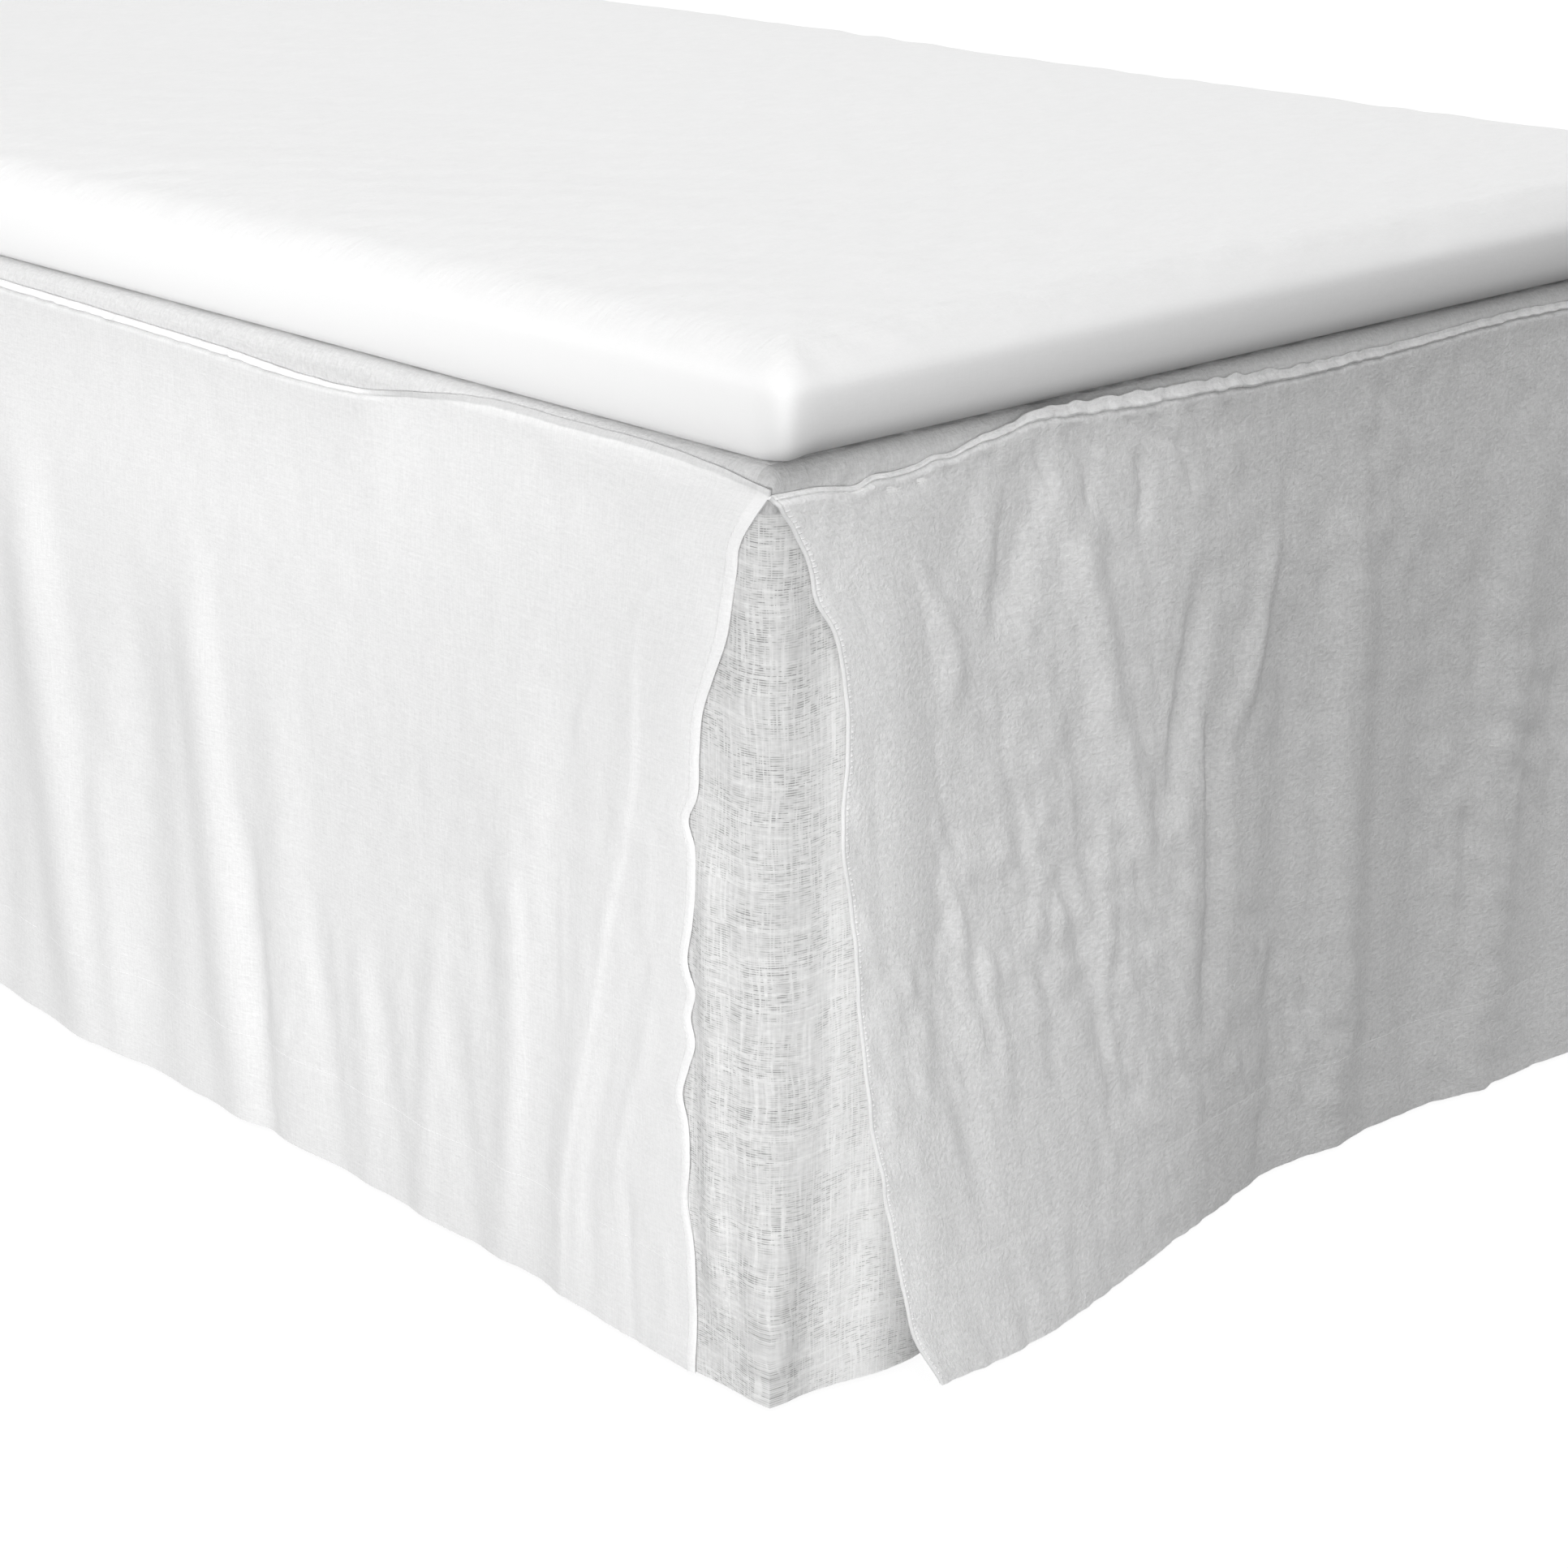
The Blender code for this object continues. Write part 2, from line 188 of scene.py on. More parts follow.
def weave_group():
    """Plain weave in thread units: its tone round 1, and its relief from about -1 to 1."""
    group = bpy.data.node_groups.new("Linen weave", "ShaderNodeTree")
    face = group.interface
    face.new_socket("Cloth", in_out="INPUT", socket_type="NodeSocketVector")
    for name, value in (("Thread", 0.001), ("Warp", 0.1), ("Weft", 0.1), ("Slubs", 0.02),
                        ("Open", 0.1), ("Fuzz", 0.1)):
        face.new_socket(name, in_out="INPUT", socket_type="NodeSocketFloat").default_value = value
    face.new_socket("Tone", in_out="OUTPUT", socket_type="NodeSocketFloat")
    face.new_socket("Relief", in_out="OUTPUT", socket_type="NodeSocketFloat")
    given = group.nodes.new("NodeGroupInput").outputs
    per_metre = maths(group, "DIVIDE", 1.0, given["Thread"])
    threads = add_node(group, "ShaderNodeVectorMath", {0: given["Cloth"], "Scale": per_metre},
                       operation="SCALE").outputs[0]
    stray = add_node(group, "ShaderNodeTexNoise",
                     {"Vector": threads, "Scale": 0.03, "Detail": 1.0})
    threads = add_node(group, "ShaderNodeVectorMath",
                       {0: stray.outputs["Color"], 1: (3.0, 3.0, 0.0), 2: threads},
                       operation="MULTIPLY_ADD").outputs[0]

    def yarn(scale, place, detail):
        spread = add_node(group, "ShaderNodeMapping", {"Vector": threads, "Scale": scale,
                                                       "Location": place})
        return add_node(group, "ShaderNodeTexNoise", {"Vector": spread.outputs[0], "Scale": 1.0,
                                                      "Detail": detail, "Roughness": 0.6},
                        noise_dimensions="2D").outputs["Fac"]

    def above(value, low, high):
        return add_node(group, "ShaderNodeMapRange",
                        {"Value": value, "From Min": low, "From Max": high}).outputs[0]

    def centred(value):
        return maths(group, "SUBTRACT", value, 0.5)

    warp = centred(yarn((0.9, 0.050, 1.0), (3.1, 7.7, 0.0), 2.0))
    weft = centred(yarn((0.060, 0.9, 1.0), (51.3, 17.9, 0.0), 2.0))
    fuzz = centred(yarn((0.40, 0.50, 1.0), (13.7, 29.1, 0.0), 2.0))
    thick_warp = above(yarn((0.70, 0.012, 1.0), (9.1, 2.7, 0.0), 0.0), 0.62, 0.74)
    thick_weft = above(yarn((0.014, 0.42, 1.0), (4.6, 33.7, 0.0), 0.0), 0.60, 0.72)
    slubs = maths(group, "MAXIMUM", thick_warp, thick_weft)
    parts = add_node(group, "ShaderNodeSeparateXYZ", {0: threads}).outputs
    turns = [maths(group, "COSINE", maths(group, "MULTIPLY", parts[axis], math.tau))
             for axis in (0, 1)]
    weave = maths(group, "MULTIPLY", turns[0], turns[1])
    rows = above(turns[1], -0.2, 1.0)
    dashes = above(yarn((0.21, 0.72, 1.0), (8.8, 61.2, 0.0), 1.0), 0.40, 0.60)
    patch = above(yarn((0.045, 0.075, 1.0), (38.8, 6.2, 0.0), 1.0), 0.26, 0.62)
    between = above(warp, 0.13, 0.0)
    hole = maths(group, "MULTIPLY", maths(group, "MULTIPLY", rows, dashes), patch)
    hole = maths(group, "MULTIPLY", hole, between)
    # The holes are darkened: painted shade for the dark seen through them
    holes = maths(group, "MULTIPLY", hole, given["Open"])
    tone = maths(group, "SUBTRACT", 1.0, holes)
    for value, share in ((warp, "Warp"), (weft, "Weft"), (fuzz, "Fuzz"), (slubs, "Slubs")):
        tone = maths(group, "ADD", tone, maths(group, "MULTIPLY", value, given[share]))
    relief = maths(group, "SUBTRACT", 0.0, holes)
    for value, share in ((warp, 0.8), (weft, 0.8), (fuzz, 1.6), (slubs, 0.5), (weave, 0.12)):
        relief = maths(group, "ADD", relief, maths(group, "MULTIPLY", value, share))
    add_node(group, "NodeGroupOutput", {"Tone": tone, "Relief": relief})
    return group


def crumple_group():
    """The creases that washing leaves in cloth: a height from about 0 to 1."""
    group = bpy.data.node_groups.new("Washed creases", "ShaderNodeTree")
    face = group.interface
    face.new_socket("Cloth", in_out="INPUT", socket_type="NodeSocketVector")
    face.new_socket("Per metre", in_out="INPUT", socket_type="NodeSocketVector")
    face.new_socket("Height", in_out="OUTPUT", socket_type="NodeSocketFloat")
    given = group.nodes.new("NodeGroupInput").outputs
    scaled = add_node(group, "ShaderNodeVectorMath", {0: given["Cloth"], 1: given["Per metre"]},
                      operation="MULTIPLY").outputs[0]
    stray = add_node(group, "ShaderNodeTexNoise", {"Vector": scaled, "Scale": 0.6, "Detail": 1.0})
    scaled = add_node(group, "ShaderNodeVectorMath",
                      {0: stray.outputs["Color"], 1: (0.9, 0.9, 0.0), 2: scaled},
                      operation="MULTIPLY_ADD").outputs[0]
    soft = add_node(group, "ShaderNodeTexNoise", {"Vector": scaled, "Scale": 1.0, "Detail": 5.0,
                                                  "Roughness": 0.68}, noise_dimensions="2D")
    add_node(group, "NodeGroupOutput", {"Height": soft.outputs["Fac"]})
    return group


WEAVE = weave_group()
CREASES = crumple_group()
Finish = namedtuple("Finish", "colour thread warp weft slubs open fuzz weave_relief creases "
                              "crease_relief lighter mottle")


def cloth_material(name, finish, coordinates="UV"):
    """Woven cloth: thread tone, painted shading of its creases, and a relief of threads and
    creases.

    Two attributes of the cloth vary it: hem tone with painted light and shade, and crumpled.
    """
    made, tree, shader = blank_material(name, 0.92, sheen=0.06)
    source = add_node(tree, "ShaderNodeTexCoord").outputs[coordinates]
    weave = add_node(tree, "ShaderNodeGroup", node_tree=WEAVE)
    tree.links.new(source, weave.inputs["Cloth"])
    for share in ("thread", "warp", "weft", "slubs", "open", "fuzz"):
        weave.inputs[share.capitalize()].default_value = getattr(finish, share)
    creases = add_node(tree, "ShaderNodeGroup", node_tree=CREASES)
    tree.links.new(source, creases.inputs["Cloth"])
    creases.inputs["Per metre"].default_value = finish.creases
    folded = maths(tree, "SUBTRACT", creases.outputs["Height"], 0.5)
    if coordinates == "UV":
        crumpled = add_node(tree, "ShaderNodeAttribute", attribute_name="crumpled").outputs["Fac"]
        folded = maths(tree, "MULTIPLY", folded, crumpled)
    tone_and_painted_light = add_node(tree, "ShaderNodeAttribute", attribute_name="tone_and_painted_light").outputs["Fac"]
    tone_and_painted_light = maths(tree, "MULTIPLY", tone_and_painted_light, finish.lighter)
    tone = maths(tree, "ADD", weave.outputs["Tone"], tone_and_painted_light)
    # Painted shade in the hollows of the creases and painted light on their crests
    tone = maths(tree, "ADD", tone, maths(tree, "MULTIPLY", folded, finish.mottle))
    colour = add_node(tree, "ShaderNodeVectorMath", {0: finish.colour, "Scale": tone},
                      operation="SCALE").outputs[0]
    tree.links.new(colour, shader.inputs["Base Color"])
    fine = add_node(tree, "ShaderNodeBump", {"Strength": 1.0, "Distance": finish.weave_relief,
                                             "Height": weave.outputs["Relief"]})
    broad = add_node(tree, "ShaderNodeBump", {"Strength": 1.0, "Distance": finish.crease_relief,
                                              "Height": folded,
                                              "Normal": fine.outputs[0]})
    tree.links.new(broad.outputs[0], shader.inputs["Normal"])
    return made


RIM_ANGLE = math.radians(65)


def settle(piece, name, material):
    """Name a finished piece, put its place into its mesh and give it its material."""
    bpy.ops.object.select_all(action="DESELECT")
    piece.select_set(True)
    bpy.context.view_layer.objects.active = piece
    for modifier in list(piece.modifiers):
        bpy.ops.object.modifier_apply(modifier=modifier.name)
        bpy.ops.object.shade_smooth_by_angle(angle=RIM_ANGLE)
    bpy.ops.object.transform_apply(location=True, rotation=True, scale=True)
    piece.name = name
    piece.data.name = name
    piece.data.materials.clear()
    piece.data.materials.append(material)
    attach(piece, "root")
    piece.select_set(False)
    return piece


def select_where(test):
    """In edit mode, select the faces whose middle and normal pass the test, and no others."""
    bpy.ops.object.mode_set(mode="OBJECT")
    mesh = bpy.context.object.data
    for group in (mesh.vertices, mesh.edges, mesh.polygons):
        for item in group:
            item.select = False
    for face in mesh.polygons:
        face.select = test(face.center, face.normal)
    bpy.ops.object.mode_set(mode="EDIT")
    bpy.ops.mesh.select_mode(type="FACE")


calico = cloth_material("calico base cover", Finish(
    colour=CALICO, thread=0.0009, warp=0.16, weft=0.16, slubs=0.02, open=0.06, fuzz=0.10,
    weave_relief=0.00008, creases=(14.0, 9.0, 11.0), crease_relief=0.0008, lighter=0.0,
    mottle=0.0), "Object")
base_size = base_high - base_low
base_middle = (base_low + base_high) / 2
bpy.ops.mesh.primitive_cube_add(size=1.0, location=base_middle, scale=base_size)
base_cover = bpy.context.object
bpy.ops.object.transform_apply(location=True, rotation=True, scale=True)
bpy.ops.object.mode_set(mode="EDIT")
bpy.ops.mesh.select_all(action="SELECT")
bpy.ops.mesh.bevel(offset=BASE_ROUND, segments=4, affect="EDGES")
select_where(lambda middle, normal: normal.z < -0.99)
bpy.ops.mesh.inset(thickness=0.018, depth=0.0)
bpy.ops.mesh.inset(thickness=0.0015, depth=-0.0012)
bpy.ops.object.mode_set(mode="OBJECT")
bpy.ops.object.shade_smooth_by_angle(angle=math.radians(40))
settle(base_cover, "base_cover", calico)
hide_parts("bed_base")

bpy.ops.mesh.primitive_plane_add(size=1.0, location=(base_middle.x, base_middle.y, 0),
                                 scale=(1, 1, 1))
piping = bpy.context.object
bpy.ops.object.mode_set(mode="EDIT")
bpy.ops.mesh.select_all(action="SELECT")
bpy.ops.mesh.delete(type="ONLY_FACE")
bpy.ops.object.mode_set(mode="OBJECT")
for vertex in piping.data.vertices:
    vertex.co.x *= base_size.x + 0.001
    vertex.co.y *= base_size.y + 0.001
    vertex.co.z = base_low.z + PIPING_UP
bpy.ops.object.mode_set(mode="EDIT")
bpy.ops.mesh.select_all(action="SELECT")
bpy.ops.mesh.bevel(offset=BASE_ROUND, segments=6, affect="VERTICES")
bpy.ops.object.mode_set(mode="OBJECT")
bpy.ops.object.convert(target="CURVE")
piping = bpy.context.object
piping.data.bevel_depth = PIPING_RADIUS
piping.data.bevel_resolution = 3
bpy.ops.object.convert(target="MESH")
piping = bpy.context.object
bpy.ops.object.shade_smooth()
settle(piping, "base_piping", calico)

# ---- The legs ----
# Four turned beech legs, waxed, a little slimmer at the floor, each on a felt pad.
LEG_TAPER = 0.80
FELT_HEIGHT = 0.004
FELT_SHARE = 0.86
BEECH_LIGHT = (0.66, 0.50, 0.34, 1.0)
BEECH_DARK = (0.50, 0.35, 0.21, 1.0)

beech, tree, shader = blank_material("waxed beech", 0.45)
place = add_node(tree, "ShaderNodeTexCoord").outputs["Object"]
along = add_node(tree, "ShaderNodeMapping", {"Vector": place, "Scale": (60.0, 60.0, 6.0)})
grain = add_node(tree, "ShaderNodeTexNoise", {"Vector": along.outputs[0], "Scale": 1.0,
                                              "Detail": 5.0, "Roughness": 0.6})
flecks_at = add_node(tree, "ShaderNodeMapping", {"Vector": place, "Scale": (900.0, 900.0, 90.0)})
flecks = add_node(tree, "ShaderNodeTexNoise", {"Vector": flecks_at.outputs[0], "Scale": 1.0,
                                               "Detail": 2.0})
both = maths(tree, "ADD", maths(tree, "MULTIPLY", grain.outputs["Fac"], 0.75),
             maths(tree, "MULTIPLY", flecks.outputs["Fac"], 0.25))
ramp = add_node(tree, "ShaderNodeValToRGB", {"Fac": both})
ramp.color_ramp.elements[0].position = 0.38
ramp.color_ramp.elements[0].color = BEECH_DARK
ramp.color_ramp.elements[1].position = 0.62
ramp.color_ramp.elements[1].color = BEECH_LIGHT
tree.links.new(ramp.outputs["Color"], shader.inputs["Base Color"])
bump = add_node(tree, "ShaderNodeBump", {"Strength": 0.4, "Distance": 0.0003,
                                         "Height": flecks.outputs["Fac"]})
tree.links.new(bump.outputs[0], shader.inputs["Normal"])

for number in (1, 2, 3, 4):
    low, high = (Vector(corner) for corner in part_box(f"leg_{number}"))
    radius = (high.x - low.x) / 2
    middle = (low + high) / 2
    bpy.ops.mesh.primitive_cylinder_add(vertices=48, radius=radius * LEG_TAPER * FELT_SHARE,
                                        depth=FELT_HEIGHT,
                                        location=(middle.x, middle.y, FELT_HEIGHT / 2))
    leg = bpy.context.object
    bpy.ops.object.transform_apply(location=True, rotation=True, scale=True)
    top = Vector((middle.x, middle.y, FELT_HEIGHT))
    bpy.ops.object.mode_set(mode="EDIT")
    select_where(lambda face_middle, normal: normal.z > 0.99)
    steps = ((0.0, 1 / FELT_SHARE * 0.97), (0.0015, 1.03), (0.060, 1.06), (0.060, 1.07),
             (high.z - FELT_HEIGHT - 0.1230, 1.085), (0.0015, 0.96))
    for rise, widen in steps:
        bpy.ops.mesh.extrude_region_move(TRANSFORM_OT_translate={"value": (0, 0, rise)})
        top.z += rise
        bpy.ops.transform.resize(value=(widen, widen, 1.0), center_override=top)
    bpy.ops.object.mode_set(mode="OBJECT")
    bpy.ops.object.shade_smooth_by_angle(angle=math.radians(35))
    settle(leg, f"turned_leg_{number}", beech)
    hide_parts(f"leg_{number}")

# ---- The deck ----
# The panel that lies under the mattress and turns down over the base's edges, where the drops
# are sewn to it. It is mitred at the foot corners, and its turned edge is a little crumpled.
DECK_OUT = 0.0030
DECK_TURN = 0.0100
DECK_DOWN = 0.0225
DECK_RISE = 0.0010
DECK_TOP = base_high.z + DECK_RISE
CLOTH = 0.0010
DECK_CORNER = 4.0
MITRE_DEPTH = 0.0004
MITRE_WIDTH = 0.0022
LINEN_WHITE = (0.865, 0.865, 0.865)
Wrinkle = namedtuple("Wrinkle", "across along height seed")
TURN_WRINKLES = (Wrinkle(95, 60, 0.0011, 3.0), Wrinkle(180, 160, 0.0006, 5.0))
TURN_REACH = 0.03
DECK_STRIP = 0.024
# How far from the photo's corner the grid stays fine, across and along the bed
DECK_FINE = (0.42, 0.45)
TURN_LOWEST = 0.014
# How much painted shade the turned edge carries, where it lies in the mattress's shade
FOOT_PAINTED_SHADE = 1.8
FOOT_TOP_PAINTED_SHADE = 2.6
CORNER_PAINTED_SHADE = 2.0
CORNER_SHADE_REACH = 0.07
SIDE_PAINTED_SHADE = 1.0
SIDE_CORNER_PAINTED_SHADE = 3.0
SIDE_SHADE_REACH = 0.22

linen = cloth_material("washed linen", Finish(
    colour=LINEN_WHITE, thread=0.00085, warp=0.10, weft=0.09, slubs=0.015, open=0.05, fuzz=0.10,
    weave_relief=0.00006, creases=(290.0, 330.0, 1.0), crease_relief=0.0012, lighter=0.06,
    mottle=0.46))
Span = namedtuple("Span", "start end step")


def spaced(spans):
    """Places along a cloth, at each span's own spacing."""
    places = [spans[0].start]
    for span in spans:
        count = max(1, round((span.end - span.start) / span.step))
        places += [span.start + (span.end - span.start) * i / count for i in range(1, count + 1)]
    return np.array(places)


def widening(start, end, first_step, last_step):
    """Places from start to end whose spacing grows evenly."""
    count = max(1, round(2 * (end - start) / (first_step + last_step)))
    shares = np.arange(1, count + 1) / count
    growth = (last_step - first_step) / (last_step + first_step)
    return start + (end - start) * (shares * (1 - growth) + shares ** 2 * growth)


def ripple(across, along, seed):
    """Smooth noise over the cloth, from about -1 to 1."""
    flat = zip(across.ravel(), along.ravel())
    values = [noise.noise((x, y, seed)) for x, y in flat]
    return np.array(values).reshape(across.shape)


def wrinkled(wrinkles, across, along):
    """The height of small wrinkles: noise of so many to the metre across and along the cloth."""
    return sum(row.height * ripple(across * row.across, along * row.along, row.seed)
               for row in wrinkles)


def ease(value):
    """A share that leaves 0 and reaches 1 gently, and stays there outside them."""
    value = np.clip(value, 0.0, 1.0)
    return value * value * (3.0 - 2.0 * value)


def lay_cloth(points, cloth_x, cloth_y, tone_and_painted_light, crumpled, outward, thickness):
    """A grid laid on points[row, column], with its cloth's flat places as UV in metres."""
    rows, columns = points.shape[0] - 1, points.shape[1] - 1
    bpy.ops.mesh.primitive_grid_add(x_subdivisions=columns, y_subdivisions=rows, size=1.0)
    piece = bpy.context.object
    mesh = piece.data
    count = len(mesh.vertices)
    spots = np.empty(count * 3)
    mesh.vertices.foreach_get("co", spots)
    spots = spots.reshape(-1, 3)
    column = np.rint((spots[:, 0] + 0.5) * columns).astype(int)
    row = np.rint((spots[:, 1] + 0.5) * rows).astype(int)
    mesh.vertices.foreach_set("co", points[row, column].ravel())
    corner = np.empty(len(mesh.loops), dtype=int)
    mesh.loops.foreach_get("vertex_index", corner)
    flat = np.stack([cloth_x[row, column], cloth_y[row, column]], axis=1)
    mesh.uv_layers[0].data.foreach_set("uv", flat[corner].ravel())
    for name, values in (("tone_and_painted_light", tone_and_painted_light), ("crumpled", crumpled)):
        layer = mesh.attributes.new(name, "FLOAT", "POINT")
        layer.data.foreach_set("value", np.broadcast_to(values, points.shape[:2])[row, column])
    mesh.update()
    if sum(face.normal.dot(outward(face.center)) for face in mesh.polygons) < 0:
        mesh.flip_normals()
    mesh.shade_smooth()
    if thickness:
        solid = piece.modifiers.new("Cloth", "SOLIDIFY")
        solid.thickness = thickness
        solid.offset = 0.0
    return piece


def turned(beyond_x, beyond_y, radius, power):
    """Cloth pulled over a box's edges: how far out and down it lies, past the flat top."""
    past_x, past_y = np.maximum(np.abs(beyond_x), 0), np.maximum(np.abs(beyond_y), 0)
    reach = np.maximum(past_x, past_y)
    small = np.minimum(past_x, past_y)
    angle = math.pi / 4 * np.divide(small, reach, out=np.zeros_like(reach), where=reach > 0)
    angle = np.where(past_x >= past_y, angle, math.pi / 2 - angle)
    turn = np.minimum(reach / radius, math.pi / 2)
    out = radius * np.sin(turn)
    down = radius * (1 - np.cos(turn)) + np.maximum(reach - radius * math.pi / 2, 0)
    squared = (np.cos(angle) ** power + np.sin(angle) ** power) ** (-1 / power)
    out_x = out * np.cos(angle) * squared * np.sign(beyond_x)
    out_y = out * np.sin(angle) * squared * np.sign(beyond_y)
    return out_x, out_y, down


left_flat = base_low.x - DECK_OUT + DECK_TURN
right_flat = base_high.x + DECK_OUT - DECK_TURN
foot_flat = base_low.y - DECK_OUT + DECK_TURN
turn_length = DECK_TURN * math.pi / 2 + DECK_DOWN - DECK_TURN
edge = spaced((Span(0.0, turn_length, 0.0013),))
strip = spaced((Span(0.0, DECK_STRIP, 0.002),))
deck_x = np.concatenate([
    left_flat - edge[::-1], left_flat + strip[1:],
    widening(left_flat + DECK_STRIP, left_flat + DECK_FINE[0], 0.004, 0.006),
    widening(left_flat + DECK_FINE[0], right_flat - DECK_STRIP, 0.006, 0.012),
    right_flat - strip[::-1][1:], right_flat + edge[1:],
])
deck_y = np.concatenate([
    foot_flat - edge[::-1], foot_flat + strip[1:],
    widening(foot_flat + DECK_STRIP, foot_flat + DECK_FINE[1], 0.004, 0.006),
    widening(foot_flat + DECK_FINE[1], base_high.y, 0.006, 0.045),
])
flat_x, flat_y = np.meshgrid(deck_x, deck_y)
beyond_x = np.where(flat_x < left_flat, flat_x - left_flat, np.maximum(flat_x - right_flat, 0))
beyond_y = np.minimum(flat_y - foot_flat, 0)
out_x, out_y, down = turned(beyond_x, beyond_y, DECK_TURN, DECK_CORNER)
deck_points = np.stack([
    np.clip(flat_x, left_flat, right_flat) + out_x,
    np.maximum(flat_y, foot_flat) + out_y,
    DECK_TOP - down,
], axis=-1)
over = np.maximum(np.abs(beyond_x), np.abs(beyond_y))
from_side = np.minimum(flat_x - left_flat, right_flat - flat_x)
from_foot = flat_y - foot_flat
from_corner = np.maximum(flat_x - left_flat, from_foot)
crumple = wrinkled(TURN_WRINKLES, flat_x, flat_y)
crumple *= ease(1 - np.minimum(from_side, from_foot) / TURN_REACH)
crumple *= ease(1 - (down - TURN_LOWEST) / 0.005)
crumple *= 0.35 + 0.65 * ease(1 - from_foot / TURN_REACH)
crumple *= ease(from_corner / 0.02)
mitre = np.abs(np.abs(from_side) - np.abs(from_foot))
by_corner = (from_side < TURN_REACH) & (from_foot < TURN_REACH)
crumple -= np.where(by_corner, MITRE_DEPTH * ease(1 - mitre / MITRE_WIDTH), 0.0)
lift = np.maximum(crumple, np.where(over > 0, -0.0015, -0.0004))
# Painted shade on the turned edge: along the foot, most at its top and near the corner, and along
# the left side, most near the foot
grey = FOOT_PAINTED_SHADE + FOOT_TOP_PAINTED_SHADE * ease(1 - down / TURN_LOWEST)
grey = grey + CORNER_PAINTED_SHADE * ease(1 - from_corner / CORNER_SHADE_REACH)
side_painted_shade = SIDE_PAINTED_SHADE + SIDE_CORNER_PAINTED_SHADE * ease(1 - from_foot / SIDE_SHADE_REACH)
grey = np.where(beyond_y < 0, grey, np.where(beyond_x < 0, side_painted_shade, 0.0))
deck_points[..., 2] += np.where(over > 0, 0, lift)
deck_points[..., 0] += np.where(over > 0, lift, 0) * np.sign(beyond_x)
deck_points[..., 1] += np.where(over > 0, lift, 0) * np.sign(beyond_y)
deck = lay_cloth(deck_points, flat_x, flat_y, -grey, 0.6,
                 lambda middle: Vector((0, 0, 1)), CLOTH)
settle(deck, "deck_panel", linen)
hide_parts("deck")

# ---- The gussets ----
# A strip of more open linen goes round each foot corner behind the split. It hangs a little
# loose: a soft ridge beside the corner, a hollow at it, and weft threads that sag.
GUSSET_TOP = 0.5125
GUSSET_LEG = 0.160
HEM_HEIGHT = 0.003
GUSSET_HEM = 0.012
GUSSET_LEAST = 0.0022
GUSSET_WRINKLES = (Wrinkle(45, 12, 0.0006, 11.0),)
# Greyer than the drops' linen: an open weave reflects less, and painted shade stands for the dark
# behind it
GAUZE = (0.705, 0.705, 0.702)
Height = namedtuple("Height", "height value")


def table_of(kind, *rows):
    """A table whose rows have the named columns of their kind."""
    return tuple(kind(*row) for row in rows)


GUSSET_OUT = table_of(
    Height, (0.520, 0.0050), (0.500, 0.0050), (0.400, 0.0062), (0.200, 0.0082), (0.000, 0.0098),
)
GUSSET_CORNER = table_of(
    Height, (0.520, 0.012), (0.400, 0.020), (0.250, 0.022), (0.120, 0.017), (0.030, 0.0035),
    (0.000, 0.0015),
)
# A soft fold down the gusset: its place from the corner, its reach to each side, its depth at
# the middle, and the heights where it starts and ends
Swell = namedtuple("Swell", "top end place end_place width depth")
GUSSET_SWELLS = table_of(
    Swell,
    (0.560, -0.200, 0.085, 0.080, 0.072, 0.0080),
    (0.560, -0.200, -0.074, -0.066, 0.050, 0.0020),
    (0.400, -0.300, 0.085, 0.080, 0.072, 0.0045),
    (0.360, 0.010, -0.033, -0.029, 0.017, 0.0046),
    (0.440, 0.060, 0.022, 0.016, 0.012, 0.0007),
    (0.230, 0.000, 0.050, 0.044, 0.016, -0.0009),
)


def by_height(table, height):
    """A value that changes smoothly with height, from a table that starts at the top."""
    heights = np.array([row.height for row in table])[::-1]
    values = np.array([row.value for row in table])[::-1]
    return flowing(heights, values, height)


def flowing(places, values, where):
    """A smooth curve through values at places."""
    slopes = np.gradient(values, places)
    step = np.clip(np.searchsorted(places, where) - 1, 0, len(places) - 2)
    width = places[step + 1] - places[step]
    share = np.clip((where - places[step]) / width, 0.0, 1.0)
    start = values[step] + share ** 2 * (3 - 2 * share) * (values[step + 1] - values[step])
    bend = share * (1 - share) ** 2 * slopes[step] - share ** 2 * (1 - share) * slopes[step + 1]
    return start + bend * width


def rounded(distance, width):
    """A rounded bump, 1 on its line and 0 a width away."""
    return 0.5 + 0.5 * np.cos(math.pi * np.clip(np.abs(distance) / width, 0, 1))


gauze = cloth_material("open linen", Finish(
    colour=GAUZE, thread=0.00130, warp=0.26, weft=0.14, slubs=0.09, open=0.66, fuzz=0.26,
    weave_relief=0.00012, creases=(70.0, 30.0, 1.0), crease_relief=0.0005, lighter=0.36,
    mottle=0.0))


def gusset_stand(place, height):
    """How far the gusset stands out, left of the corner where place is negative."""
    stand = by_height(GUSSET_OUT, height)
    for swell in GUSSET_SWELLS:
        run = np.clip((swell.top - height) / (swell.top - swell.end), 0, 1)
        line = swell.place + (swell.end_place - swell.place) * run
        strength = ease(5.6 * run * (1 - run))
        stand = stand + swell.depth * strength * rounded(place - line, swell.width)
    loose = ease((GUSSET_TOP - height) / 0.10)
    stand = stand + wrinkled(GUSSET_WRINKLES, place, height) * loose
    return np.maximum(stand, GUSSET_LEAST)


